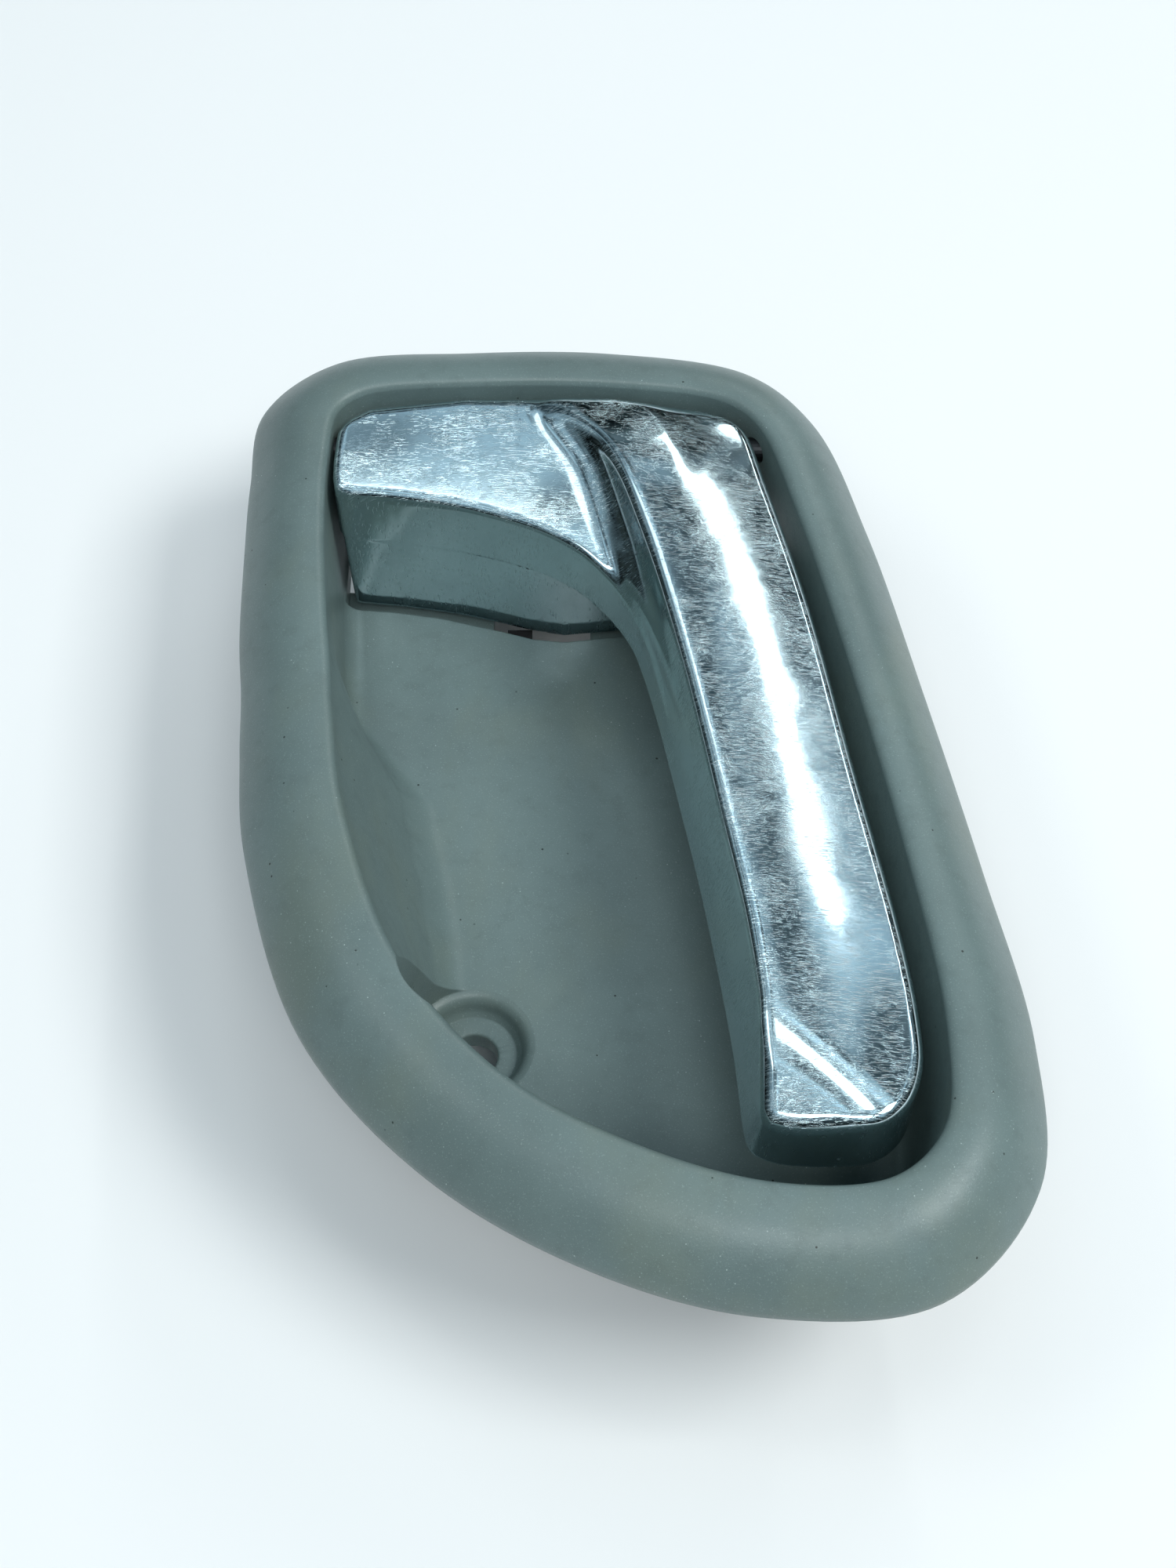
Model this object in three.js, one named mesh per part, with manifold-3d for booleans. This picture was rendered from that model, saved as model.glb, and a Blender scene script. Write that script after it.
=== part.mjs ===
// Interior release handle of a car door: a moulded bezel with a finger cup, and a plated lever that
// swings about a pin at its short end and pulls a rod through a crank behind the cup.
// Frame: X along the pivot pin, +Y towards the hinge end, +Z out of the door trim into the cabin.
// z = 0 is the plane where the bezel lip meets the trim. Millimetres.
import * as THREE from "three";
import { mergeVertices } from "three/addons/utils/BufferGeometryUtils.js";
import Module from "manifold-3d";

const wasm = await Module();
wasm.setup();

// ---- driving dimensions -------------------------------------------------------------------------
const WALL = 2.2; // moulded wall of bezel and cup
const LIP_Z = 1.2; // height of the upright outer lip
const CREST_Z = 8.5; // height of the bezel ridge above the trim
const FLOOR_Z = -16; // front face of the cup floor
const BACK_Z = FLOOR_Z - WALL; // rear face of the cup floor
const GAP = 0.3; // running gap between neighbouring pieces

const PIVOT_Y = 52.3;
const PIVOT_Z = 3.0;
const PIN_R = 1.75;
const PIN_X0 = -42.9;
const PIN_X1 = 26.2;
const BUSH_R = 2.6;

const HUB_Z = 8.0; // face of the lever's hub plate
const SKIN = 2.1; // wall of the plated shell
const ARM_LIP_Z = -1.0; // free edge of the arm's skirt
const ARM_CREST_Z = 13.0; // highest line of the arm
const HUB_FOOT_Z = -16.4; // foot of the deep hub walls, just under the cup floor

const CRANK_R = 30; // pin to rod hole
const CRANK_REST_DEG = 10; // lean of the crank towards the hinge end at rest
const OPEN_DEG = 36; // full stroke of the lever
const CRANK_X = -12;
const CRANK_T = 2.4;

const SCREW_X = -17.4; // fixing screw at the foot of the cup
const SCREW_Y = -30.5;
const SCREW_HOLE_R = 3.0;
const SEAT_R = 5.5;
const SEAT_Z = -19;
const COUNTERBORE_R = 6.9;
const BOSS_R = 9.0;
const BOSS_FOOT_Z = -22;

// Stations round the bezel, counter-clockwise from the upper left corner, one per row:
// outer lip x, y, ridge x, y, ridge to inner lip, ridge to floor edge.
const STATIONS = [
  [-48.9, 61.0, -38.4, 55.8, 1.2, 1.2],
  [-49.8, 47.6, -39.5, 46.5, 1.2, 1.6],
  [-49.6, 35.5, -39.3, 36.0, 1.2, 2.0],
  [-49.0, 20.5, -38.1, 21.0, 1.2, 1.9],
  [-48.0, 11.1, -37.1, 12.1, 1.3, 5.8],
  [-47.4, 2.0, -36.2, 3.5, 1.3, 10.3],
  [-45.7, -12.3, -34.2, -10.1, 1.4, 11.3],
  [-37.1, -37.9, -26.5, -32.0, 1.6, 8.0],
  [-21.6, -55.7, -14.1, -47.3, 1.8, 5.5],
  [-2.7, -67.0, 1.4, -56.6, 1.9, 4.5],
  [16.1, -72.3, 18.0, -61.5, 1.9, 4.5],
  [36.1, -70.7, 31.8, -60.6, 2.0, 4.5],
  [48.2, -57.5, 38.8, -53.5, 2.0, 4.5],
  [49.6, -39.1, 40.0, -39.9, 1.8, 4.0],
  [45.8, -15.7, 37.0, -16.9, 1.6, 3.5],
  [40.7, 11.7, 32.3, 10.0, 1.6, 3.5],
  [35.2, 38.6, 26.7, 36.7, 1.6, 3.0],
  [29.1, 58.3, 21.5, 53.5, 1.4, 1.8],
  [20.3, 67.8, 16.0, 58.2, 1.1, 0.8],
  [0.0, 72.1, 0.0, 60.8, 1.0, 0.4],
  [-19.7, 72.2, -19.9, 60.9, 1.0, 0.4],
  [-39.3, 70.2, -34.2, 59.4, 1.1, 0.5],
];
const STEPS = 4; // sections between two stations

// ---- helpers ------------------------------------------------------------------------------------
const V = (x, y, z = 0) => new THREE.Vector3(x, y, z);
const lerp = (a, b, t) => a + (b - a) * t;
const rad = THREE.MathUtils.degToRad;

// A three.js geometry as a solid, turned face out if it came inside out.
function solid(geometry) {
  const g = geometry.index ? geometry.toNonIndexed() : geometry.clone();
  g.deleteAttribute("normal");
  g.deleteAttribute("uv");
  const m = mergeVertices(g, 1e-4);
  const tri = new Uint32Array(m.index.array);
  const make = () =>
    new wasm.Manifold(
      new wasm.Mesh({
        numProp: 3,
        vertProperties: m.attributes.position.array,
        triVerts: tri,
      }),
    );
  let s = make();
  if (s.volume() < 0) {
    for (let i = 0; i < tri.length; i += 3) {
      [tri[i + 1], tri[i + 2]] = [tri[i + 2], tri[i + 1]];
    }
    s = make();
  }
  return s;
}

function geometryOf(s) {
  const m = s.getMesh();
  const g = new THREE.BufferGeometry();
  g.setAttribute("position", new THREE.BufferAttribute(m.vertProperties, 3));
  g.setIndex(new THREE.BufferAttribute(m.triVerts, 1));
  const flat = g.toNonIndexed();
  flat.computeVertexNormals();
  return flat;
}

function fromTriangles(points, triangles) {
  const g = new THREE.BufferGeometry();
  const flat = points.flatMap((p) => [p.x, p.y, p.z]);
  g.setAttribute("position", new THREE.Float32BufferAttribute(flat, 3));
  g.setIndex(triangles);
  return g;
}

// Skin over a row of rings with equal counts. Open rows get flat ends, closed rows join up.
function skin(rings, closed = false) {
  const n = rings[0].length;
  const points = rings.flat();
  const tri = [];
  const rows = closed ? rings.length : rings.length - 1;
  for (let r = 0; r < rows; r++) {
    for (let i = 0; i < n; i++) {
      const a = r * n + i;
      const b = r * n + ((i + 1) % n);
      const c = ((r + 1) % rings.length) * n + ((i + 1) % n);
      const d = ((r + 1) % rings.length) * n + i;
      tri.push(a, b, c, a, c, d);
    }
  }
  if (!closed) {
    const area = (p, q, r) => (q.x - p.x) * (r.y - p.y) - (r.x - p.x) * (q.y - p.y);
    const ends = [
      [rings[0], 0, -1],
      [rings[rings.length - 1], (rings.length - 1) * n, 1],
    ];
    for (const [ring, base, way] of ends) {
      const flat = flatten(ring);
      const turn = THREE.ShapeUtils.isClockWise(flat) ? -1 : 1;
      for (const [a, b, c] of THREE.ShapeUtils.triangulateShape(flat, [])) {
        const along = area(flat[a], flat[b], flat[c]) > 0 ? 1 : -1;
        if (along * turn === way) tri.push(base + a, base + b, base + c);
        else tri.push(base + a, base + c, base + b);
      }
    }
  }
  return solid(fromTriangles(points, tri));
}

// A ring seen along its own normal, as 2-D points.
function flatten(ring) {
  const n = V(0, 0, 0);
  ring.forEach((p, i) => {
    const q = ring[(i + 1) % ring.length];
    n.x += (p.y - q.y) * (p.z + q.z);
    n.y += (p.z - q.z) * (p.x + q.x);
    n.z += (p.x - q.x) * (p.y + q.y);
  });
  n.normalize();
  const u = Math.abs(n.z) > 0.7 ? V(1, 0, 0) : V(0, 0, 1);
  u.addScaledVector(n, -u.dot(n)).normalize();
  const v = n.clone().cross(u);
  return ring.map((p) => new THREE.Vector2(p.dot(u), p.dot(v)));
}

// Outline in plan, [x, y] points, raised from z0 to z1.
function prism(outline, z0, z1) {
  const shape = new THREE.Shape(outline.map(([x, y]) => new THREE.Vector2(x, y)));
  const g = new THREE.ExtrudeGeometry(shape, { depth: z1 - z0, bevelEnabled: false });
  return solid(g.translate(0, 0, z0));
}

// Outline in the Y-Z plane, [y, z] points, from x0 to x1.
function prismX(outline, x0, x1) {
  const shape = new THREE.Shape(outline.map(([y, z]) => new THREE.Vector2(y, z)));
  const g = new THREE.ExtrudeGeometry(shape, { depth: x1 - x0, bevelEnabled: false });
  const turn = new THREE.Matrix4().makeBasis(V(0, 1, 0), V(0, 0, 1), V(1, 0, 0));
  return solid(g.applyMatrix4(turn).translate(x0, 0, 0));
}

function box(x0, x1, y0, y1, z0, z1) {
  const g = new THREE.BoxGeometry(x1 - x0, y1 - y0, z1 - z0);
  return solid(g.translate((x0 + x1) / 2, (y0 + y1) / 2, (z0 + z1) / 2));
}

// Round bar along Z, or along X, with the radius at each end.
function barZ(x, y, z0, z1, r0, r1 = r0, sides = 28) {
  const g = new THREE.CylinderGeometry(r1, r0, z1 - z0, sides).rotateX(Math.PI / 2);
  return solid(g.translate(x, y, (z0 + z1) / 2));
}

function barX(y, z, x0, x1, r, sides = 28) {
  const g = new THREE.CylinderGeometry(r, r, x1 - x0, sides).rotateZ(Math.PI / 2);
  return solid(g.translate((x0 + x1) / 2, y, z));
}

// Outline round two circles and their common tangents, in any plane.
function link(ax, ay, ar, bx, by, br, steps = 10) {
  const along = Math.atan2(by - ay, bx - ax);
  const half = Math.acos((ar - br) / Math.hypot(bx - ax, by - ay));
  const out = [];
  for (let i = 0; i <= steps; i++) {
    const t = along + half + ((2 * Math.PI - 2 * half) * i) / steps;
    out.push([ax + ar * Math.cos(t), ay + ar * Math.sin(t)]);
  }
  for (let i = 0; i <= steps; i++) {
    const t = along - half + (2 * half * i) / steps;
    out.push([bx + br * Math.cos(t), by + br * Math.sin(t)]);
  }
  return out;
}

// Closed outline moved inwards by d, corner by corner.
function inset(outline, d) {
  const n = outline.length;
  let area = 0;
  outline.forEach(([x, y], i) => {
    const [u, v] = outline[(i + 1) % n];
    area += x * v - u * y;
  });
  const s = Math.sign(area);
  return outline.map(([x, y], i) => {
    const [px, py] = outline[(i + n - 1) % n];
    const [qx, qy] = outline[(i + 1) % n];
    const la = Math.hypot(x - px, y - py);
    const lb = Math.hypot(qx - x, qy - y);
    const ax = (-(y - py) / la) * s;
    const ay = ((x - px) / la) * s;
    const bx = (-(qy - y) / lb) * s;
    const by = ((qx - x) / lb) * s;
    const k = d / (1 + ax * bx + ay * by);
    return [x + (ax + bx) * k, y + (ay + by) * k];
  });
}

// Smooth closed outline through [x, y] points.
function smoothLoop(points, n) {
  const c = new THREE.CatmullRomCurve3(
    points.map(([x, y]) => V(x, y)),
    true,
    "centripetal",
  );
  return Array.from({ length: n }, (_, i) => {
    const p = c.getPoint(i / n);
    return [p.x, p.y];
  });
}

const steel = { color: 0x9aa0a4, roughness: 0.35, metalness: 1 };
const chrome = { color: 0xc9d0d2, roughness: 0.08, metalness: 1 };
const moulded = { color: 0x6f8482, roughness: 0.55, metalness: 0 };
const darkPlastic = { color: 0x23282a, roughness: 0.6, metalness: 0 };
const acetal = { color: 0xe6e3d8, roughness: 0.45, metalness: 0 };
const rubber = { color: 0x1a1b1c, roughness: 0.9, metalness: 0 };
const foam = { color: 0x2e3132, roughness: 1, metalness: 0 };
const springSteel = { color: 0x5c5f62, roughness: 0.4, metalness: 1 };

function mesh(name, s, look) {
  const m = new THREE.Mesh(geometryOf(s), new THREE.MeshStandardMaterial(look));
  m.name = name;
  return m;
}

// ---- bezel and finger cup -----------------------------------------------------------------------
const outerLine = smoothLoop(STATIONS.map((s) => [s[0], s[1]]), STATIONS.length * STEPS);
const crestLine = smoothLoop(STATIONS.map((s) => [s[2], s[3]]), STATIONS.length * STEPS);
const depths = smoothLoop(STATIONS.map((s) => [s[4], s[5]]), STATIONS.length * STEPS);

// Closed wall section at one place round the loop, from the outer lip over the ridge into the cup.
function bezelSection(i) {
  const [ox, oy] = outerLine[i];
  const [cx, cy] = crestLine[i];
  const [lip, toFloor] = depths[i];
  const n = crestLine.length;
  const [ax, ay] = crestLine[(i + n - 1) % n];
  const [bx, by] = crestLine[(i + 1) % n];
  const l = Math.hypot(bx - ax, by - ay);
  const inX = -(by - ay) / l;
  const inY = (bx - ax) / l;
  const inward = (d, z) => V(cx + inX * d, cy + inY * d, z);
  const flank = (s, z) => V(lerp(cx, ox, s), lerp(cy, oy, s), z);
  const domeZ = (s) => lerp(LIP_Z, CREST_Z, 1 - Math.pow(s, 2.1));
  const across = (t) => lerp(lip, toFloor, t);
  return [
    flank(1, 0),
    flank(1, LIP_Z),
    flank(0.93, domeZ(0.9)),
    flank(0.75, domeZ(0.75)),
    flank(0.5, domeZ(0.5)),
    flank(0.25, domeZ(0.25)),
    flank(0, CREST_Z),
    inward(lip * 0.6, CREST_Z - 0.3),
    inward(lip, CREST_Z - 1.3),
    inward(across(0.35), -1),
    inward(across(0.78), -12),
    inward(toFloor, FLOOR_Z + 1.1),
    inward(toFloor + 1.6, FLOOR_Z),
    inward(toFloor + 1.6, BACK_Z),
    inward(toFloor - 1.2, BACK_Z),
    inward(across(0.78) - WALL, FLOOR_Z + 2),
    inward(across(0.35) - WALL, -1),
    inward(lip - WALL, 4.6),
    flank(0.25, domeZ(0.25) - WALL),
    flank(0.5, domeZ(0.5) - WALL),
    flank(0.72, domeZ(0.75) - WALL),
    flank(0.83, 0),
  ];
}
const sections = crestLine.map((_, i) => bezelSection(i));
let housing = skin(sections, true);
const floorEdge = sections.map((s) => [s[12].x, s[12].y]);
housing = housing.add(prism(inset(floorEdge, -0.5), BACK_Z, FLOOR_Z));
// Space inside the cup, which nothing moulded on its outside may enter.
const cupSpace = skin([8, 9, 10, 11, 12].map((k) => sections.map((s) => s[k])));

// Stiffening ribs under the dome, square to the ridge.
const RIB_T = 1.4;
const ribAt = [13, 21, 27, 34, 41, 47, 54, 60, 65, 74, 79, 84];
for (const i of ribAt) {
  const s = sections[i];
  const t = V(s[0].y - s[6].y, s[6].x - s[0].x).normalize();
  const foot = V(s[16].x, s[16].y, 0.4);
  const web = [s[20], s[19], s[18], s[17], foot, V(s[21].x, s[21].y, 0.9)];
  const lifted = web.map((p, k) => V(p.x, p.y, p.z + (k < 4 ? 0.6 : 0)));
  const side = (d) => lifted.map((p) => p.clone().addScaledVector(t, d));
  housing = housing.add(skin([side(-RIB_T / 2), side(RIB_T / 2)]));
}

// Ears that carry the pin, outside the cup wall, with a saddle open to the rear.
const EAR_FOOT_Z = -8;
const EARS = [
  {
    top: 4.9,
    plan: [
      [-38.9, 57.0],
      [-43.6, 57.0],
      [-44.2, 48.0],
      [-38.9, 48.0],
    ],
  },
  {
    top: 3.0,
    plan: [
      [-38.9, 49.0],
      [-46.0, 49.0],
      [-46.0, 43.0],
      [-38.9, 43.0],
    ],
  },
  {
    top: 4.9,
    plan: [
      [20.9, 56.6],
      [22.4, 51.5],
      [23.4, 48.5],
      [27.6, 48.5],
      [26.9, 56.6],
    ],
  },
  {
    top: 3.0,
    plan: [
      [24.0, 49.5],
      [25.2, 43.0],
      [31.4, 43.0],
      [30.4, 49.5],
    ],
  },
];
for (const e of EARS) {
  housing = housing.add(prism(e.plan, EAR_FOOT_Z, e.top).subtract(cupSpace));
}

// Fixing boss with its counterbore, at the foot of the cup.
const boss = barZ(SCREW_X, SCREW_Y, BOSS_FOOT_Z, 1, BOSS_R, BOSS_R, 40);
housing = housing.add(boss.subtract(cupSpace));
housing = housing.subtract(barZ(SCREW_X, SCREW_Y, -16.4, 8, COUNTERBORE_R, COUNTERBORE_R, 40));
housing = housing.subtract(barZ(SCREW_X, SCREW_Y, SEAT_Z, -16.4, SEAT_R, COUNTERBORE_R, 40));
housing = housing.subtract(barZ(SCREW_X, SCREW_Y, -30, -10, SCREW_HOLE_R));

// Post for the opening buffer, behind the front edge of the slot.
const post = box(-14.8, -10.9, 29.5, 34.9, -22, BACK_Z + 0.5);
housing = housing.add(post);

// Slot in the floor for the lever's deep hub.
const slot = [
  [-37.4, 59.9],
  [-37.4, 39.2],
  [-36.0, 39.0],
  [-30.9, 38.6],
  [-24.1, 37.5],
  [-15.2, 35.1],
  [-10.7, 33.7],
  [-6.3, 33.2],
  [2.1, 34.2],
  [6.6, 36.2],
  [7.6, 47.0],
  [18.6, 48.5],
  [18.6, 59.9],
];
const inCup = prism(crestLine, -40, -11.5);
housing = housing.subtract(prism(slot, -40, -11.5).intersect(inCup));

// Ledges under the front edge of the slot, which close the view through the gap before the lever.
const LEDGE_Z0 = -20.2;
const ledges = [
  [
    [-38.6, 37.0],
    [-30.9, 36.2],
    [-24.1, 35.0],
    [-16.4, 33.0],
    [-16.4, 41.0],
    [-24.1, 42.6],
    [-30.9, 43.6],
    [-38.6, 44.2],
  ],
  [
    [-2.6, 31.6],
    [2.1, 31.8],
    [8.4, 34.6],
    [8.4, 41.0],
    [2.1, 39.6],
    [-2.6, 38.4],
  ],
];
for (const plan of ledges) housing = housing.add(prism(plan, LEDGE_Z0, BACK_Z + 0.1));

// Blades for the spring clips, under the dome.
const BLADES = [
  { name: "right", x: 34.5, y: 24.5, out: [0.975, 0.222] },
  { name: "left", x: -44.0, y: 27.5, out: [-1, 0.02] },
  { name: "bottom", x: 28.0, y: -66.2, out: [0.02, -1] },
];
const BLADE_T = 1.6;
const BLADE_W = 8;
const BLADE_FOOT_Z = -9;
function placed(s, blade) {
  const a = Math.atan2(blade.out[1], blade.out[0]);
  return s.rotate(0, 0, THREE.MathUtils.radToDeg(a)).translate(blade.x, blade.y, 0);
}
for (const b of BLADES) {
  const blade = box(-BLADE_T / 2, BLADE_T / 2, -BLADE_W / 2, BLADE_W / 2, BLADE_FOOT_Z, 5.4);
  housing = housing.add(placed(blade, b));
}

// Hooks at the hinge end that catch behind the trim.
for (const x of [-22, 4]) {
  housing = housing.add(box(x - 4, x + 4, 61.2, 63.0, -15, 6));
  housing = housing.add(box(x - 4, x + 4, 61.2, 66.2, -6.6, -4.4));
}

// Saddles and cap screw holes in the ears.
const saddle = (x0, x1) =>
  barX(PIVOT_Y, PIVOT_Z, x0, x1, PIN_R + GAP).add(
    box(x0, x1, PIVOT_Y - PIN_R - GAP, PIVOT_Y + PIN_R + GAP, EAR_FOOT_Z - 1, PIVOT_Z),
  );
housing = housing.subtract(saddle(-44.4, -36));
housing = housing.subtract(saddle(19, 27.6));
const CAP_SCREW_Y = 45.9;
const CAP_SCREWS = [
  { name: "left", x: -43.2 },
  { name: "right", x: 28.7 },
];
for (const c of CAP_SCREWS) {
  housing = housing.subtract(barZ(c.x, CAP_SCREW_Y, EAR_FOOT_Z - 1, -0.5, 1.3, 1.3, 16));
}

// Seat of the closing buffer, a hole through the wall at the hinge end.
const CLOSE_BUFFER_Z = -12.5;
const holeY = new THREE.CylinderGeometry(1.5, 1.5, 8, 20).translate(CRANK_X, 61, CLOSE_BUFFER_Z);
housing = housing.subtract(solid(holeY));

// ---- lever --------------------------------------------------------------------------------------
const hubOutline = [
  [-37.4, 51.6],
  [-36.9, 54.2],
  [-35.6, 55.8],
  [-33.4, 56.9],
  [-23.6, 58.2],
  [-10.5, 58.8],
  [1.0, 58.5],
  [3.0, 50.0],
  [3.0, 24.0],
  [0.3, 25.4],
  [-1.7, 28.3],
  [-4.0, 30.7],
  [-8.1, 33.5],
  [-12.3, 35.4],
  [-20.8, 38.2],
  [-29.2, 39.7],
  [-36.4, 40.7],
  [-37.4, 41.6],
];
// The edge at the hinge end is rolled back further than the others, to clear the bezel in its swing.
function hubRing(z, side, back) {
  const moved = inset(hubOutline, side);
  return moved.map(([x, y], i) => V(x, hubOutline[i][1] > 53 ? y - (back - side) : y, z));
}
let lever = skin([
  hubRing(-2, 0, 0),
  hubRing(5.2, 0, 0.0),
  hubRing(6.6, 0.1, 0.5),
  hubRing(7.5, 0.4, 1.2),
  hubRing(HUB_Z, 1.0, 2.4),
]);

// Arm: sections square to Y, one per row: y, skirt lip x, crest x, crest z, right edge x, its z.
const ARM = [
  [59.0, -10.5, -8.0, 6.0, 20.0, 6.0],
  [57.0, -10.5, -7.5, 7.6, 20.0, 7.4],
  [54.5, -9.5, -6.8, 8.9, 19.6, 8.2],
  [50.5, -6.6, -3.6, 10.6, 18.9, 8.8],
  [46.0, -3.6, -0.5, 12.0, 19.9, 9.2],
  [38.8, -1.4, 1.9, 12.8, 21.5, 9.6],
  [28.7, -0.2, 4.7, 13.0, 23.8, 9.8],
  [18.3, 3.2, 7.0, 13.0, 26.0, 9.8],
  [7.1, 6.0, 9.3, 13.0, 27.9, 9.8],
  [-4.8, 8.2, 11.4, 13.0, 29.8, 9.8],
  [-16.1, 10.4, 13.3, 13.0, 31.7, 9.8],
  [-27.0, 12.1, 15.3, 13.0, 33.5, 9.8],
  [-37.3, 13.6, 16.5, 12.8, 34.8, 9.6],
  [-47.3, 14.6, 16.8, 11.6, 35.2, 8.8],
  [-54.6, 15.0, 17.0, 10.0, 35.2, 7.6],
];
function armSection([y, lipX, crestX, crestZ, rightX, rightZ]) {
  return [
    V(lipX, y, ARM_LIP_Z),
    V(lerp(lipX, crestX, 0.5), y, lerp(ARM_LIP_Z, crestZ, 0.5)),
    V(crestX - 0.2, y, crestZ - 0.9),
    V(crestX + 0.7, y, crestZ),
    V(lerp(crestX, rightX, 0.35), y, lerp(crestZ, rightZ, 0.22)),
    V(lerp(crestX, rightX, 0.7), y, lerp(crestZ, rightZ, 0.6)),
    V(rightX - 2.2, y, rightZ),
    V(rightX - 0.7, y, rightZ - 0.9),
    V(rightX, y, rightZ - 2.8),
    V(rightX, y, ARM_LIP_Z),
  ];
}
const armPlan = smoothLoop(
  [
    [-7.0, 58.7],
    [4.0, 58.4],
    [11.0, 57.2],
    [16.0, 55.2],
    [18.6, 51.3],
    [21.2, 40.3],
    [25.8, 19.0],
    [29.8, -5.5],
    [33.9, -29.9],
    [35.0, -39.8],
    [34.9, -46.2],
    [32.9, -51.1],
    [29.7, -53.5],
    [25.0, -54.1],
    [17.6, -53.4],
    [14.8, -51.2],
    [13.6, -40.0],
    [11.0, -21.0],
    [7.2, 0.0],
    [3.2, 18.3],
    [-0.4, 27.5],
    [-6.0, 40.0],
    [-12.0, 54.0],
  ],
  92,
);
const armBody = skin(ARM.map(armSection)).intersect(prism(armPlan, -5, 20));
// Downward facet at the free end, square to a line across the tip.
const tipCut = new THREE.BoxGeometry(60, 40, 20)
  .translate(0, -20, 10)
  .rotateX(rad(24))
  .rotateZ(rad(-34.6))
  .translate(22.5, -45.4, 12.3);
const arm = armBody.subtract(solid(tipCut));

// Deep hub walls that follow the slot: the same outline at two heights, with a little draft.
const deepTop = [
  [-37.3, 56.5],
  [-37.3, 41.8],
  [-36.4, 40.8],
  [-29.2, 39.8],
  [-20.8, 38.3],
  [-15.2, 36.8],
  [-10.7, 35.5],
  [-6.3, 34.7],
  [2.1, 35.6],
  [5.2, 37.2],
  [5.4, 56.5],
];
const deepFoot = deepTop.map(([x, y]) => [x < -35 ? x + 1.1 : x, y < 45 ? y + 0.1 : y - 0.3]);
const deepWalls = skin([
  deepFoot.map(([x, y]) => V(x, y, HUB_FOOT_Z)),
  deepTop.map(([x, y]) => V(x, y, 6.2)),
]);
const deepHollow = prism(
  [
    [-34.0, 66.0],
    [-34.0, 43.2],
    [-29.0, 42.1],
    [-20.5, 40.5],
    [-14.6, 38.9],
    [-10.0, 37.7],
    [-6.2, 36.9],
    [1.6, 37.8],
    [3.2, 38.9],
    [3.2, 66.0],
  ],
  HUB_FOOT_Z - 2,
  -3,
);
const hubHollow = prism(
  [
    [-35.2, 56.0],
    [-35.2, 43.6],
    [-29.0, 42.0],
    [-20.3, 40.5],
    [-10.2, 37.6],
    [-3.9, 35.2],
    [2.0, 38.0],
    [3.2, 40.0],
    [3.2, 56.6],
    [-20.0, 56.3],
  ],
  -4,
  HUB_Z - SKIN,
);
lever = lever.add(arm).add(deepWalls);
lever = lever.subtract(hubHollow).subtract(deepHollow);
// No wall at the hinge end under the hub, so that the swing stays inside the bezel.
lever = lever.subtract(box(-34.8, 3.0, 50, 62, -20, -1.6));
const SWING_ROOM = 0.4;
const innerWall = [
  [-40, 54.6],
  [-37.2, 55.4],
  [-35.4, 57.0],
  [-33, 58.3],
  [-20, 59.8],
  [0, 59.7],
  [9, 58.6],
  [13.3, 57.8],
  [16.5, 56.7],
  [18.5, 55.4],
  [22, 54.4],
  [60, 54.4],
];
// Room the lever may take at each x: an arc inside the bezel wall, then the wall's own slope
// turned back by the full stroke.
const swing = skin(
  innerWall.map(([x, y]) => {
    const r = y - PIVOT_Y - SWING_ROOM;
    const out = [V(x, -70, 30), V(x, -70, -40)];
    for (let i = 0; i <= 14; i++) {
      const a = rad(lerp(-90, OPEN_DEG, i / 14));
      out.push(V(x, PIVOT_Y + r * Math.cos(a), (i ? PIVOT_Z : PIVOT_Z) + r * Math.sin(a)));
    }
    out[2].z = -40;
    const rise = 14;
    const t = rad(OPEN_DEG);
    out.push(V(x, PIVOT_Y + (r - rise * Math.sin(t)) / Math.cos(t), PIVOT_Z + rise));
    return out;
  }),
);
lever = lever.intersect(swing);
lever = lever.subtract(box(-15.5, -8.5, 53.5, 62, -20, 3.4));

// Hollow under the arm, open at the finger side.
const armHollowPlan = inset(armPlan, SKIN + 0.5);
const armHollow = skin(
  ARM.slice(1).map(([y, lipX, crestX, crestZ, rightX, rightZ]) => [
    V(lipX + SKIN + 0.4, y, ARM_LIP_Z - 1),
    V(lerp(lipX, crestX, 0.6) + SKIN + 0.3, y, crestZ - SKIN - 3.4),
    V(crestX + SKIN + 0.6, y, crestZ - SKIN - 0.4),
    V(lerp(crestX, rightX, 0.5), y, lerp(crestZ, rightZ, 0.4) - SKIN - 0.2),
    V(rightX - SKIN - 1.2, y, rightZ - SKIN - 0.4),
    V(rightX - SKIN, y, rightZ - SKIN - 2.4),
    V(rightX - SKIN, y, ARM_LIP_Z - 1),
  ]),
).intersect(prism(armHollowPlan, -5, 20));
const tipFloor = solid(tipCut.clone().translate(0, 0, -SKIN - 0.6));
lever = lever.subtract(
  armHollow.subtract(tipFloor).subtract(box(-40, 5.6, 33, 70, -20, 20)),
);

// Bearing webs, one near each end of the pin.
const webLeft = prismX(link(PIVOT_Y, PIVOT_Z, 4.6, 44, 5, 2.6), -35.4, -32.4);
const webRight = prismX(link(PIVOT_Y, PIVOT_Z, 4.6, 45, 5, 2.6), 10.4, 13.4);
lever = lever.add(webLeft).add(webRight);
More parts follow.
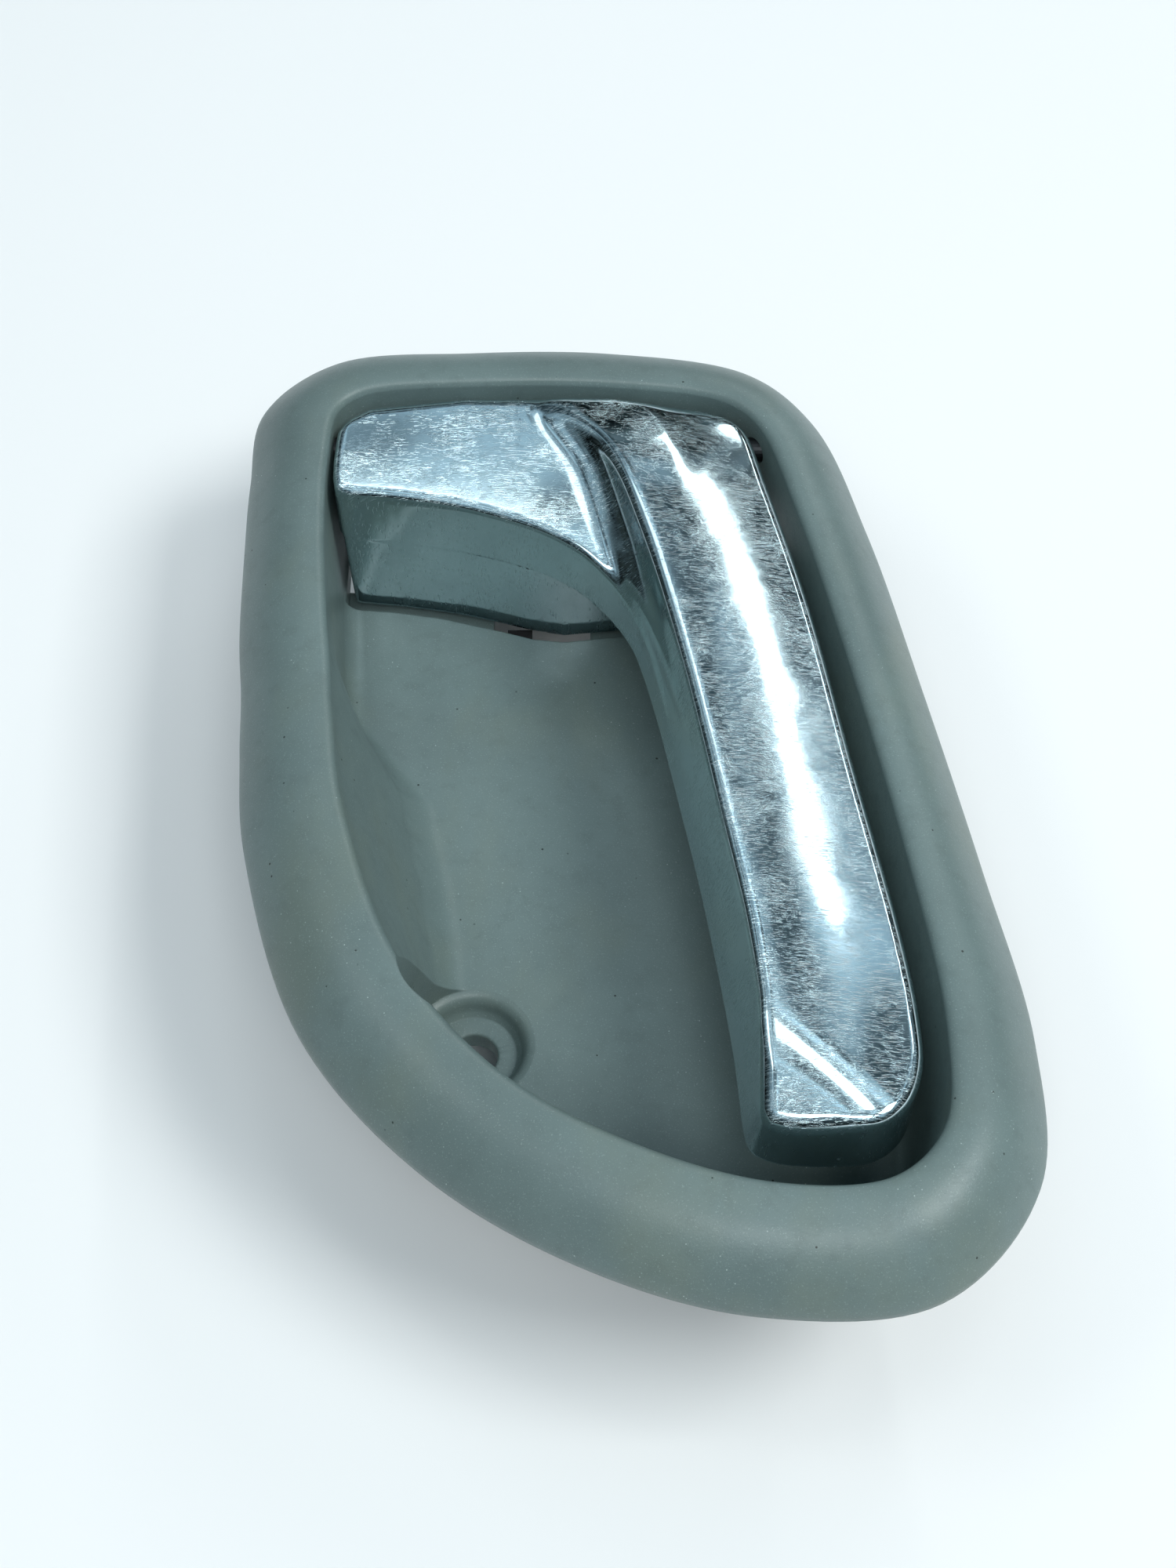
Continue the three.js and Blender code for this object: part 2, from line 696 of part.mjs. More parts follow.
// Bosses for the crank screws and for the back plate screws.
const CRANK_SCREW_X = [-28, -18];
const CRANK_SCREW_Y = 45;
const FLANGE_Z0 = -1.9;
const FLANGE_Z1 = 0.2;
for (const x of CRANK_SCREW_X) {
  lever = lever.add(barZ(x, CRANK_SCREW_Y, FLANGE_Z1 + 0.1, 6.4, 2.7, 2.7, 20));
  lever = lever.subtract(barZ(x, CRANK_SCREW_Y, -1, 5.6, 1.4, 1.4, 16));
}
const PLATE_Z0 = -0.6;
const PLATE_Z1 = 1.2;
const PLATE_SCREWS = [
  [13.2, 25.0],
  [19.6, -12.0],
  [24.4, -44.0],
];
for (const [x, y] of PLATE_SCREWS) {
  lever = lever.add(barZ(x, y, PLATE_Z1 + 0.3, y < -40 ? 9.5 : 10.3, 2.7, 3.0, 20));
  lever = lever.subtract(barZ(x, y, -1, 7.2, 1.4, 1.4, 16));
}
// Bores: bushes in the webs, clearance in the inner wall of the deep hub.
lever = lever.subtract(barX(PIVOT_Y, PIVOT_Z, -39, -31, BUSH_R + GAP));
lever = lever.subtract(barX(PIVOT_Y, PIVOT_Z, 9, 13.6, BUSH_R + GAP));
lever = lever.subtract(barX(PIVOT_Y, PIVOT_Z, 13.4, 24, 3.6));
lever = lever.subtract(barX(PIVOT_Y, PIVOT_Z, -32.4, -31.0, 3.6));
// Room for the return spring under the hub plate.
lever = lever.subtract(barX(PIVOT_Y, PIVOT_Z, -10.8, -1.6, 3.3));
lever = lever.subtract(barX(PIVOT_Y, PIVOT_Z, 1, 8, PIN_R + 0.9));

// Back plate of the arm, let into the skirt.
const platePlan = inset(armPlan, SKIN + 1.0).filter(([x, y]) => y < 30 && x > 2);
let plate = prism(platePlan, PLATE_Z0, PLATE_Z1);
plate = plate.subtract(box(-10, 12, 28.5, 40, -5, 5));
for (const [x, y] of PLATE_SCREWS) plate = plate.subtract(barZ(x, y, -2, 3, 1.6, 1.6, 16));
const plateLip = skin(ARM.slice(5).map(([y, lipX, , , rightX]) => [
  V(lipX + SKIN + 0.8, y, -3),
  V(rightX - SKIN - 0.3, y, -3),
  V(rightX - SKIN - 0.3, y, 3),
  V(lipX + SKIN + 0.8 + 0.9, y, 3),
]));
plate = plate.intersect(plateLip);

// ---- pin, bushes, crank, clip -------------------------------------------------------------------
const pin = barX(PIVOT_Y, PIVOT_Z, PIN_X0, PIN_X1, PIN_R, 24);
function bush(x0, x1, flangeX0, flangeX1) {
  return barX(PIVOT_Y, PIVOT_Z, x0, x1, BUSH_R)
    .add(barX(PIVOT_Y, PIVOT_Z, flangeX0, flangeX1, 3.3))
    .subtract(barX(PIVOT_Y, PIVOT_Z, x0 - 1, x1 + 1, PIN_R + 0.15));
}
const restLean = rad(CRANK_REST_DEG);
const rodY = PIVOT_Y + CRANK_R * Math.sin(restLean);
const rodZ = PIVOT_Z - CRANK_R * Math.cos(restLean);
const crankX0 = CRANK_X - CRANK_T / 2;
const crankX1 = CRANK_X + CRANK_T / 2;
const flangeMid = (FLANGE_Z0 + FLANGE_Z1) / 2;
const flangeHalf = (FLANGE_Z1 - FLANGE_Z0) / 2;
let crank = prismX(link(PIVOT_Y, PIVOT_Z, 3.7, rodY, rodZ, 3.5, 14), crankX0, crankX1);
crank = crank.add(
  prismX(link(PIVOT_Y, PIVOT_Z, 2.6, 44.3, flangeMid, flangeHalf, 10), crankX0, crankX1),
);
crank = crank.add(box(-31.0, crankX1, 43.2, 47.6, FLANGE_Z0, FLANGE_Z1));
crank = crank.intersect(box(-60, 60, 0, 80, -40, 5.6));
crank = crank.subtract(barX(PIVOT_Y, PIVOT_Z, -20, 0, PIN_R + 0.25));
crank = crank.subtract(barX(rodY, rodZ, -20, 0, 2.3, 20));
for (const x of CRANK_SCREW_X) {
  crank = crank.subtract(barZ(x, CRANK_SCREW_Y, -4, 3, 1.5, 1.5, 16));
}

// Swivel clip for the rod: a stub snapped through the crank and a block with a cross hole.
let rodClip = barX(rodY, rodZ, crankX0 - 2.0, crankX1 + 1, 1.9, 18);
rodClip = rodClip.add(barX(rodY, rodZ, crankX0 - 2.4, crankX0 - 0.35, 2.9, 20));
rodClip = rodClip.add(box(crankX1 + 0.35, crankX1 + 7.2, rodY - 4.2, rodY + 4.2, rodZ - 3.4, rodZ + 3.4));
const rodBore = new THREE.CylinderGeometry(1.6, 1.6, 12, 18).translate(crankX1 + 4.2, rodY, rodZ);
rodClip = rodClip.subtract(solid(rodBore));
rodClip = rodClip.subtract(box(crankX1 + 3.0, crankX1 + 5.4, rodY - 5, rodY + 5, rodZ - 4, rodZ));

// Self-tapping screw pointing up, driven from the rear.
function screwUp(x, y, headZ, tipZ, headR = 2.5) {
  return barZ(x, y, headZ - 1.7, headZ, headR * 0.75, headR, 20)
    .add(barZ(x, y, headZ - 0.3, tipZ - 1.2, 1.05, 1.05, 14))
    .add(barZ(x, y, tipZ - 1.3, tipZ, 1.05, 0.2, 14))
    .subtract(box(x - 0.3, x + 0.3, y - 1.5, y + 1.5, headZ - 2, headZ - 1))
    .subtract(box(x - 1.5, x + 1.5, y - 0.3, y + 0.3, headZ - 2, headZ - 1));
}

// Bearing caps that close the saddles under the pin.
function bearingCap(plan, screwX) {
  const tongueY0 = PIVOT_Y - PIN_R;
  const tongueY1 = PIVOT_Y + PIN_R;
  const tongue = prism(plan.tongue, EAR_FOOT_Z - 0.4, PIVOT_Z - PIN_R - GAP).intersect(
    box(-60, 60, tongueY0, tongueY1, -20, 20),
  );
  const foot = prism(plan.foot, EAR_FOOT_Z - 2.3, EAR_FOOT_Z - GAP);
  return tongue.add(foot).subtract(barZ(screwX, CAP_SCREW_Y, -14, -6, 1.4, 1.4, 16));
}
const capLeftPlan = {
  tongue: [
    [-39.0, 56.4],
    [-43.4, 56.4],
    [-43.9, 43.4],
    [-39.0, 43.4],
  ],
  foot: [
    [-40.3, 56.4],
    [-43.4, 56.4],
    [-45.6, 48.5],
    [-45.6, 43.4],
    [-40.3, 43.4],
  ],
};
const capRightPlan = {
  tongue: [
    [22.0, 56.2],
    [22.6, 51.5],
    [23.6, 48.0],
    [27.4, 48.0],
    [26.7, 56.2],
  ],
  foot: [
    [23.4, 56.2],
    [24.0, 51.5],
    [26.3, 43.4],
    [31.0, 43.4],
    [30.1, 49.0],
    [26.7, 56.2],
  ],
};

// Torsion spring round the pin: one leg on the slot edge, one on the crank.
const SPRING_R = 2.5;
const WIRE_R = 0.45;
const TURNS = 5;
const PITCH = 1.25;
const SPRING_X0 = -9.4;
const coilStart = rad(200);
const coilPoints = [];
const crankLegX = crankX1 + 0.9;
coilPoints.push(V(crankLegX - 0.2, 50.6, -12.0));
coilPoints.push(V(crankLegX - 0.1, 49.9, -6.0));
coilPoints.push(V(crankLegX, 49.5, -1.0));
for (let i = 0; i <= TURNS * 12; i++) {
  const a = coilStart + (i / 12) * 2 * Math.PI;
  const x = SPRING_X0 + (i / 12) * PITCH;
  coilPoints.push(V(x, PIVOT_Y + SPRING_R * Math.cos(a), PIVOT_Z - SPRING_R * Math.sin(a) * -1));
}
const coilEndX = SPRING_X0 + TURNS * PITCH;
coilPoints.push(V(coilEndX, 47.6, -2.5));
coilPoints.push(V(coilEndX, 43.5, -8.5));
coilPoints.push(V(coilEndX, 39.4, -14.6));
const wirePath = new THREE.CatmullRomCurve3(coilPoints, false, "centripetal");
const wireSection = new THREE.Shape(
  Array.from({ length: 7 }, (_, i) => {
    const a = (i / 7) * 2 * Math.PI;
    return new THREE.Vector2(WIRE_R * Math.cos(a), WIRE_R * Math.sin(a));
  }),
);
const springBody = solid(
  new THREE.ExtrudeGeometry(wireSection, { steps: 96, extrudePath: wirePath }),
);

// Rubber buffers: one takes the crank at rest, one at full stroke.
const closeHead = box(CRANK_X - 2.6, CRANK_X + 2.6, 59.3, 60.1, CLOSE_BUFFER_Z - 2.6, CLOSE_BUFFER_Z + 2.6);
const closeStem = solid(
  new THREE.CylinderGeometry(1.2, 1.2, 4.4, 18).translate(CRANK_X, 62, CLOSE_BUFFER_Z),
);
const closeBarb = solid(
  new THREE.CylinderGeometry(1.1, 2.2, 1.6, 18).translate(CRANK_X, 64.2, CLOSE_BUFFER_Z),
);
const closeBuffer = closeHead.add(closeStem).add(closeBarb);
const openBuffer = prismX(
  [
    [35.2, -22.0],
    [35.2, -18.6],
    [37.4, -18.6],
    [35.9, -22.0],
  ],
  -14.4,
  -10.9,
);

// Spring clip of folded strip round a blade.
const clipShape = new THREE.Shape(
  [
    [-1.75, 0.6],
    [-2.9, -4.5],
    [-1.8, -9.95],
    [1.8, -9.95],
    [2.9, -4.5],
    [1.75, 0.6],
    [1.15, 0.6],
    [2.3, -4.5],
    [1.25, -9.35],
    [-1.25, -9.35],
    [-2.3, -4.5],
    [-1.15, 0.6],
  ].map(([u, z]) => new THREE.Vector2(u, z)),
);
const clipBody = solid(
  new THREE.ExtrudeGeometry(clipShape, { depth: 6.4, bevelEnabled: false })
    .rotateX(Math.PI / 2)
    .translate(0, 3.2, 0),
);

// ---- scene graph --------------------------------------------------------------------------------
const handle = new THREE.Group();
const fixedParts = new THREE.Group();
fixedParts.add(mesh("bezel_housing", housing, moulded));
fixedParts.add(mesh("pivot_pin", pin, steel));
fixedParts.add(mesh("bearing_cap_left", bearingCap(capLeftPlan, CAP_SCREWS[0].x), darkPlastic));
fixedParts.add(mesh("bearing_cap_right", bearingCap(capRightPlan, CAP_SCREWS[1].x), darkPlastic));
for (const c of CAP_SCREWS) {
  const s = screwUp(c.x, CAP_SCREW_Y, EAR_FOOT_Z - 2.6, -1.5);
  fixedParts.add(mesh("cap_screw_" + c.name, s, steel));
}
fixedParts.add(mesh("return_spring", springBody, springSteel));
fixedParts.add(mesh("closing_buffer", closeBuffer, rubber));
fixedParts.add(mesh("opening_buffer", openBuffer, rubber));
for (const b of BLADES) fixedParts.add(mesh("trim_clip_" + b.name, placed(clipBody, b), springSteel));
const pads = [
  { name: "foam_pad_upper", x: 14, y: 10 },
  { name: "foam_pad_lower", x: 20, y: -38 },
];
for (const p of pads) {
  const pad = box(p.x - 7, p.x + 7, p.y - 10, p.y + 10, BACK_Z - 3.3, BACK_Z - GAP);
  fixedParts.add(mesh(p.name, pad, foam));
}
handle.add(fixedParts);

const leverParts = new THREE.Group();
leverParts.add(mesh("lever_shell", lever, chrome));
leverParts.add(mesh("lever_back_plate", plate, moulded));
leverParts.add(mesh("lever_crank", crank, steel));
leverParts.add(mesh("pivot_bush_left", bush(-37.2, -31.4, -32.1, -31.4), acetal));
leverParts.add(mesh("pivot_bush_right", bush(10.0, 14.4, 13.7, 14.4), acetal));
CRANK_SCREW_X.forEach((x, i) => {
  const s = screwUp(x, CRANK_SCREW_Y, FLANGE_Z0 - GAP, 5.2);
  leverParts.add(mesh("crank_screw_" + (i + 1), s, steel));
});
PLATE_SCREWS.forEach(([x, y], i) => {
  const s = screwUp(x, y, PLATE_Z0 - GAP, 6.6);
  leverParts.add(mesh("plate_screw_" + (i + 1), s, steel));
});
handle.add(leverParts);
handle.add(mesh("rod_clip", rodClip, acetal));

export default handle;
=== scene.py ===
"""Looks of an interior door release handle: moulded bezel with a finger cup, chrome lever, hidden works."""
import math

import bmesh
import bpy
import numpy as np
from mathutils import Matrix, Vector


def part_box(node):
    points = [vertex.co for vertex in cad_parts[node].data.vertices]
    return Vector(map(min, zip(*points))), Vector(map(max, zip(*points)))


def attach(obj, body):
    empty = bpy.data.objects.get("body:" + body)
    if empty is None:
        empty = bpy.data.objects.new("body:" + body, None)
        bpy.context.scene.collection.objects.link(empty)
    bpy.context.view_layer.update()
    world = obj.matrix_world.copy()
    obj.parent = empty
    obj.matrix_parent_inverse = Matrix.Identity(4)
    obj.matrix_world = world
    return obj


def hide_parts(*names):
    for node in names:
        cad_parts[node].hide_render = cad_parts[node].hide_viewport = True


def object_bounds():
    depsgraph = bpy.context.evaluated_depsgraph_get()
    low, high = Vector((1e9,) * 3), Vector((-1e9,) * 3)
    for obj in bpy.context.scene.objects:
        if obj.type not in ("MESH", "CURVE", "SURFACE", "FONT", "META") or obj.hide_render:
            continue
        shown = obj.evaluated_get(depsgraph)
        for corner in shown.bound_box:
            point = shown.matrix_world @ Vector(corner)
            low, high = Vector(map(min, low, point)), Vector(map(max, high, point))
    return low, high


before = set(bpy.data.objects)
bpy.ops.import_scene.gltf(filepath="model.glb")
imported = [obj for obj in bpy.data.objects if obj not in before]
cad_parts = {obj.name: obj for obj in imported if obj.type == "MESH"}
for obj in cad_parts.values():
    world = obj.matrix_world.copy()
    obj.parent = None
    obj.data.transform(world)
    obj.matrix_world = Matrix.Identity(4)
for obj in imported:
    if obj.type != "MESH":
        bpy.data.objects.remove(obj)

bl_info = {
    "name": "Door release handle looks",
    "version": (1, 0, 0),
    "blender": (4, 5, 0),
    "location": "View3D > Sidebar > Handle",
    "description": "Smooth pieces, finishes and studio for an interior door release handle",
    "category": "Object",
}

CAD_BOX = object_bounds()
MM = 0.001

# Shared sizes in millimetres, the same as the solids they stand for.
LIP_Z = 1.2
CREST_Z = 8.5
FLOOR_Z = -16.0
BACK_Z = -18.2
WALL = 2.2
PIVOT_Y = 52.3
PIVOT_Z = 3.0
HUB_Z = 8.0
ARM_FOOT_Z = -1.0
HUB_EDGE_Z = -2.0
HUB_FOOT_Z = -16.4
SCREW_X = -17.4
SCREW_Y = -30.5
OPEN_DEG = 36.0
# Middle of the view, in metres.
VIEW_CENTRE = (-0.00293, -0.00175, 0)
# Sloping facet at the arm's tip: a point on it, and the way it faces.
TIP_POINT = (21.0, -45.4, 12.5)
TIP_FACING = (-0.14, -0.36, 0.922)

# Bezel, counter-clockwise from the upper left corner:
# outer lip x, y, ridge x, y, ridge to inner lip, ridge to floor edge.
STATIONS = [
    (-48.9, 61.0, -38.4, 55.8, 1.2, 1.2),
    (-49.8, 47.6, -39.5, 46.5, 1.2, 1.6),
    (-49.6, 35.5, -39.3, 36.0, 1.2, 2.0),
    (-49.0, 20.5, -38.1, 21.0, 1.2, 1.9),
    (-48.0, 11.1, -37.1, 12.1, 1.3, 5.8),
    (-47.4, 2.0, -36.2, 3.5, 1.3, 10.3),
    (-45.7, -12.3, -34.2, -10.1, 1.4, 11.3),
    (-37.1, -37.9, -26.5, -32.0, 1.6, 8.0),
    (-21.6, -55.7, -14.1, -47.3, 1.8, 5.5),
    (-2.7, -67.0, 1.4, -56.6, 1.9, 4.5),
    (16.1, -72.3, 18.0, -61.5, 1.9, 4.5),
    (36.1, -70.7, 31.8, -60.6, 2.0, 4.5),
    (48.2, -57.5, 38.8, -53.5, 2.0, 4.5),
    (49.6, -39.1, 40.0, -39.9, 1.8, 4.0),
    (45.8, -15.7, 37.0, -16.9, 1.6, 3.5),
    (40.7, 11.7, 32.3, 10.0, 1.6, 3.5),
    (35.2, 38.6, 26.7, 36.7, 1.6, 3.0),
    (29.1, 58.3, 21.5, 53.5, 1.4, 1.8),
    (20.3, 67.8, 16.0, 58.2, 1.1, 0.8),
    (0.0, 72.1, 0.0, 60.8, 1.0, 0.4),
    (-19.7, 72.2, -19.9, 60.9, 1.0, 0.4),
    (-39.3, 70.2, -34.2, 59.4, 1.1, 0.5),
]
SLOT = [
    (-37.4, 59.9),
    (-37.4, 39.2),
    (-36.0, 39.0),
    (-30.9, 38.6),
    (-24.1, 37.5),
    (-15.2, 35.1),
    (-10.7, 33.7),
    (-6.3, 33.2),
    (2.1, 34.2),
    (6.6, 36.2),
    (7.6, 47.0),
    (18.6, 48.5),
    (18.6, 59.9),
]
HUB_PLAN = [
    (-37.4, 51.6),
    (-36.9, 54.2),
    (-35.6, 55.8),
    (-33.4, 56.9),
    (-23.6, 58.2),
    (-10.5, 58.8),
    (1.0, 58.5),
    (8.0, 50.0),
    (9.0, 24.0),
    (13.0, -4.0),
    (11.0, -7.5),
    (7.2, 7.0),
    (4.1, 18.3),
    (1.1, 24.6),
    (-1.7, 28.3),
    (-4.0, 30.7),
    (-8.1, 33.5),
    (-12.3, 35.4),
    (-20.8, 38.2),
    (-29.2, 39.7),
    (-36.0, 40.7),
    (-37.2, 41.8),
]
# Arm, square to Y: y, skirt lip x, crest x, crest z, right edge x, its z.
ARM_ROWS = [
    (59.0, -10.5, -8.0, 6.0, 20.0, 6.0),
    (57.0, -10.5, -7.5, 7.6, 20.0, 7.4),
    (54.5, -9.5, -6.8, 8.9, 19.6, 8.2),
    (50.5, -6.6, -3.6, 10.6, 18.9, 8.8),
    (46.0, -3.6, -0.5, 12.0, 19.9, 9.2),
    (38.8, -1.4, 1.9, 12.8, 21.5, 9.6),
    (28.7, -0.2, 4.7, 13.0, 23.8, 9.8),
    (18.3, 3.2, 7.0, 13.0, 26.0, 9.8),
    (7.1, 6.0, 9.3, 13.0, 27.9, 9.8),
    (-4.8, 8.2, 11.4, 13.0, 29.8, 9.8),
    (-16.1, 10.4, 13.3, 13.0, 31.7, 9.8),
    (-27.0, 12.1, 15.3, 13.0, 33.5, 9.8),
    (-37.3, 13.6, 16.5, 12.8, 34.8, 9.6),
    (-47.3, 14.6, 16.8, 12.6, 35.2, 9.4),
    (-54.6, 15.0, 17.0, 12.4, 35.2, 9.2),
]
ARM_PLAN = [
    (-7.0, 58.7),
    (4.0, 58.4),
    (11.0, 57.2),
    (16.0, 55.2),
    (18.6, 51.3),
    (21.2, 40.3),
    (25.8, 19.0),
    (29.8, -5.5),
    (33.9, -29.9),
    (35.0, -39.8),
    (34.9, -46.2),
    (32.9, -51.1),
    (29.7, -53.5),
    (25.0, -54.1),
    (17.6, -53.4),
    (14.8, -51.2),
    (13.6, -40.0),
    (11.0, -21.0),
    (7.2, 0.0),
    (3.2, 18.3),
    (-0.4, 27.5),
    (-6.0, 40.0),
    (-12.0, 54.0),
]
DEEP_PLAN = [
    (-37.3, 56.5),
    (-37.3, 41.8),
    (-36.4, 40.8),
    (-29.2, 39.8),
    (-20.8, 38.3),
    (-15.2, 36.8),
    (-10.7, 35.5),
    (-6.3, 34.9),
    (-1.5, 34.9),
    (2.1, 35.3),
    (5.2, 37.0),
    (5.4, 56.5),
]
# Inner face of the bezel's hinge-end wall: x, y.
HINGE_WALL = [
    (-40.0, 54.6),
    (-37.2, 55.4),
    (-35.4, 57.0),
    (-33.0, 58.3),
    (-20.0, 59.8),
    (0.0, 59.7),
    (9.0, 58.6),
    (13.3, 57.8),
    (16.5, 56.7),
    (18.5, 55.4),
    (22.0, 54.4),
    (60.0, 54.4),
]
# Bores along the pin: x from, x to, radius.
PIN_BORES = [
    (-39.0, -31.0, 2.9),
    (9.0, 13.6, 2.9),
    (13.4, 24.0, 3.6),
    (-32.4, -31.0, 3.6),
    (-10.8, -1.6, 3.3),
    (1.0, 8.0, 2.65),
]


# ---- shapes -------------------------------------------------------------------------------------
def lerp(a, b, t):
    return a + (b - a) * t


def smooth_loop(points, steps):
    """Closed centripetal spline through the points, with this many steps to each."""
    pts = np.array(points, float)
    n = len(pts)
    out = []
    for i in range(n):
        p0, p1, p2, p3 = (pts[(i + k) % n] for k in (-1, 0, 1, 2))
        d0 = max(np.linalg.norm(p1 - p0) ** 0.5, 1e-4)
        d1 = max(np.linalg.norm(p2 - p1) ** 0.5, 1e-4)
        d2 = max(np.linalg.norm(p3 - p2) ** 0.5, 1e-4)
        t1 = ((p1 - p0) / d0 - (p2 - p0) / (d0 + d1) + (p2 - p1) / d1) * d1
        t2 = ((p2 - p1) / d1 - (p3 - p1) / (d1 + d2) + (p3 - p2) / d2) * d1
        for k in range(steps):
            u = k / steps
            a = 2 * u**3 - 3 * u**2 + 1
            b = u**3 - 2 * u**2 + u
            c = -2 * u**3 + 3 * u**2
            d = u**3 - u**2
            out.append(a * p1 + b * t1 + c * p2 + d * t2)
    return np.array(out)


def start_ring(bm, points):
    """Closed loop of edges through the points."""
    verts = [bm.verts.new(p) for p in points]
    for a, b in zip(verts, verts[1:] + verts[:1]):
        bm.edges.new((a, b))
    return verts


def grow_ring(bm, ring, points):
    """Extrudes the loop to the next loop of points."""
    edges = []
    for a, b in zip(ring, ring[1:] + ring[:1]):
        edges.append(bm.edges.get((a, b)))
    made = bmesh.ops.extrude_edge_only(bm, edges=edges)
    fresh = {g for g in made["geom"] if isinstance(g, bmesh.types.BMVert)}
    out = []
    for v, p in zip(ring, points):
        w = next(e.other_vert(v) for e in v.link_edges if e.other_vert(v) in fresh)
        w.co = p
        out.append(w)
    return out


def loft(rings, closed=False):
    """Mesh through the rings, capped at both ends, or closed on itself."""
    bm = bmesh.new()
    first = start_ring(bm, rings[0])
    ring = first
    for points in rings[1:]:
        ring = grow_ring(bm, ring, points)
    if closed:
        ring = grow_ring(bm, ring, rings[0])
        bmesh.ops.remove_doubles(bm, verts=bm.verts, dist=1e-4)
    else:
        bm.faces.new(first)
        bm.faces.new(ring)
    bmesh.ops.recalc_face_normals(bm, faces=bm.faces)
    return bm


def prism(outline, z0, z1):
    """Upright prism on an outline."""
    return loft([[(x, y, z0) for x, y in outline], [(x, y, z1) for x, y in outline]])


def lathe_z(profile, x, y, steps=64):
    """Solid turned about an upright axis, from radius and height pairs."""
    rings = []
    for r, z in profile:
        turn = [2 * math.pi * k / steps for k in range(steps)]
        rings.append([(x + r * math.cos(a), y + r * math.sin(a), z) for a in turn])
    return loft(rings)


def bar_x(x0, x1, r, y, z, steps=40):
    """Round bar along X."""
    turn = [2 * math.pi * k / steps for k in range(steps)]
    rings = [[(x, y + r * math.cos(a), z + r * math.sin(a)) for a in turn] for x in (x0, x1)]
    return loft(rings)


def block(x0, x1, y0, y1, z0, z1):
    return prism([(x0, y0), (x1, y0), (x1, y1), (x0, y1)], z0, z1)


def to_object(bm, name):
    """Object that holds the mesh, still in millimetres."""
    me = bpy.data.meshes.new(name)
    bm.to_mesh(me)
    bm.free()
    ob = bpy.data.objects.new(name, me)
    bpy.context.scene.collection.objects.link(ob)
    return ob


def drop(ob):
    me = ob.data
    bpy.data.objects.remove(ob)
    bpy.data.meshes.remove(me)


def apply_modifiers(ob):
    """Turns the object's modifiers into its mesh."""
    deps = bpy.context.evaluated_depsgraph_get()
    deps.update()
    fresh = bpy.data.meshes.new_from_object(ob.evaluated_get(deps))
    old = ob.data
    ob.modifiers.clear()
    ob.data = fresh
    fresh.name = ob.name
    bpy.data.meshes.remove(old)


def combine(ob, other, how):
    """Boolean of two closed meshes, done at once, which uses up the second."""
    m = ob.modifiers.new("cut", "BOOLEAN")
    m.operation = how
    m.object = other
    m.solver = "MANIFOLD"
    apply_modifiers(ob)
    drop(other)


def cad_copy(node, name):
    """Merged copy of a CAD node in millimetres."""
    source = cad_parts[node]
    bm = bmesh.new()
    bm.from_mesh(source.data)
    bmesh.ops.scale(bm, vec=(1000, 1000, 1000), verts=bm.verts)
    bmesh.ops.remove_doubles(bm, verts=bm.verts, dist=0.0008)
    return to_object(bm, name)


def finish_piece(ob, angle=35.0):
    """Metres, smooth faces with sharp edges past the angle."""
    bm = bmesh.new()
    bm.from_mesh(ob.data)
    bmesh.ops.scale(bm, vec=(MM, MM, MM), verts=bm.verts)
    for f in bm.faces:
        f.smooth = True
    limit = math.radians(angle)
    for e in bm.edges:
        e.smooth = len(e.link_faces) == 2 and e.calc_face_angle(0) < limit
    bm.to_mesh(ob.data)
    bm.free()


# ---- bezel --------------------------------------------------------------------------------------
STEPS = 12
# The smooth wall is this much thicker than the solid's, so that the two overlap where they join.
SKIN = 0.34
CUT_SKIN = 0.24


def bezel_lines():
    outer = smooth_loop([s[0:2] for s in STATIONS], STEPS)
    crest = smooth_loop([s[2:4] for s in STATIONS], STEPS)
    depth = smooth_loop([s[4:6] for s in STATIONS], STEPS)
    along = np.roll(crest, -1, axis=0) - np.roll(crest, 1, axis=0)
    along /= np.linalg.norm(along, axis=1)[:, None]
    inward = np.stack([-along[:, 1], along[:, 0]], axis=1)
    return outer, crest, depth, inward


def dome_z(s):
    return lerp(LIP_Z, CREST_Z, 1 - s**2.1)


def front_profile(lip, floor):
    """Front of one section: (flank share or None, distance inwards, height)."""
    rows = [(1.0, 0, 0.0), (1.0, 0, 0.7)]
    dome = [0.994, 0.975, 0.94, 0.89, 0.83, 0.76, 0.68, 0.6, 0.52, 0.44, 0.36, 0.28, 0.2, 0.13, 0.06]
    for s in dome:
        z = dome_z(s) - 0.35 * max(0.0, (s - 0.9) / 0.1) ** 3
        rows.append((s, 0, z))
    rows.append((0.0, 0, CREST_Z))
    for deg in (14, 28, 42, 56, 70, 82):
        a = math.radians(deg)
        rows.append((None, lip * math.sin(a), CREST_Z - 1.3 * (1 - math.cos(a))))
    span = floor - lip
    wall = [(0.03, 6.0), (0.12, 4.0), (0.24, 1.5), (0.35, -1.0), (0.49, -4.6), (0.63, -8.2), (0.78, -12.0)]
    for t, z in wall:
        rows.append((None, lip + span * t, z))
    # Fillet from the wall's own slope into the floor.
    toe = floor + 0.083 * span
    for k in range(9):
        t = k / 8
        a, b, c = (1 - t) ** 2, 2 * t * (1 - t), t * t
        d = a * (lip + span * 0.86) + b * toe + c * (toe + 2.4)
        rows.append((None, d, a * -13.05 + (b + c) * FLOOR_Z))
    rows.append((None, toe + 2.8, FLOOR_Z))
    return rows


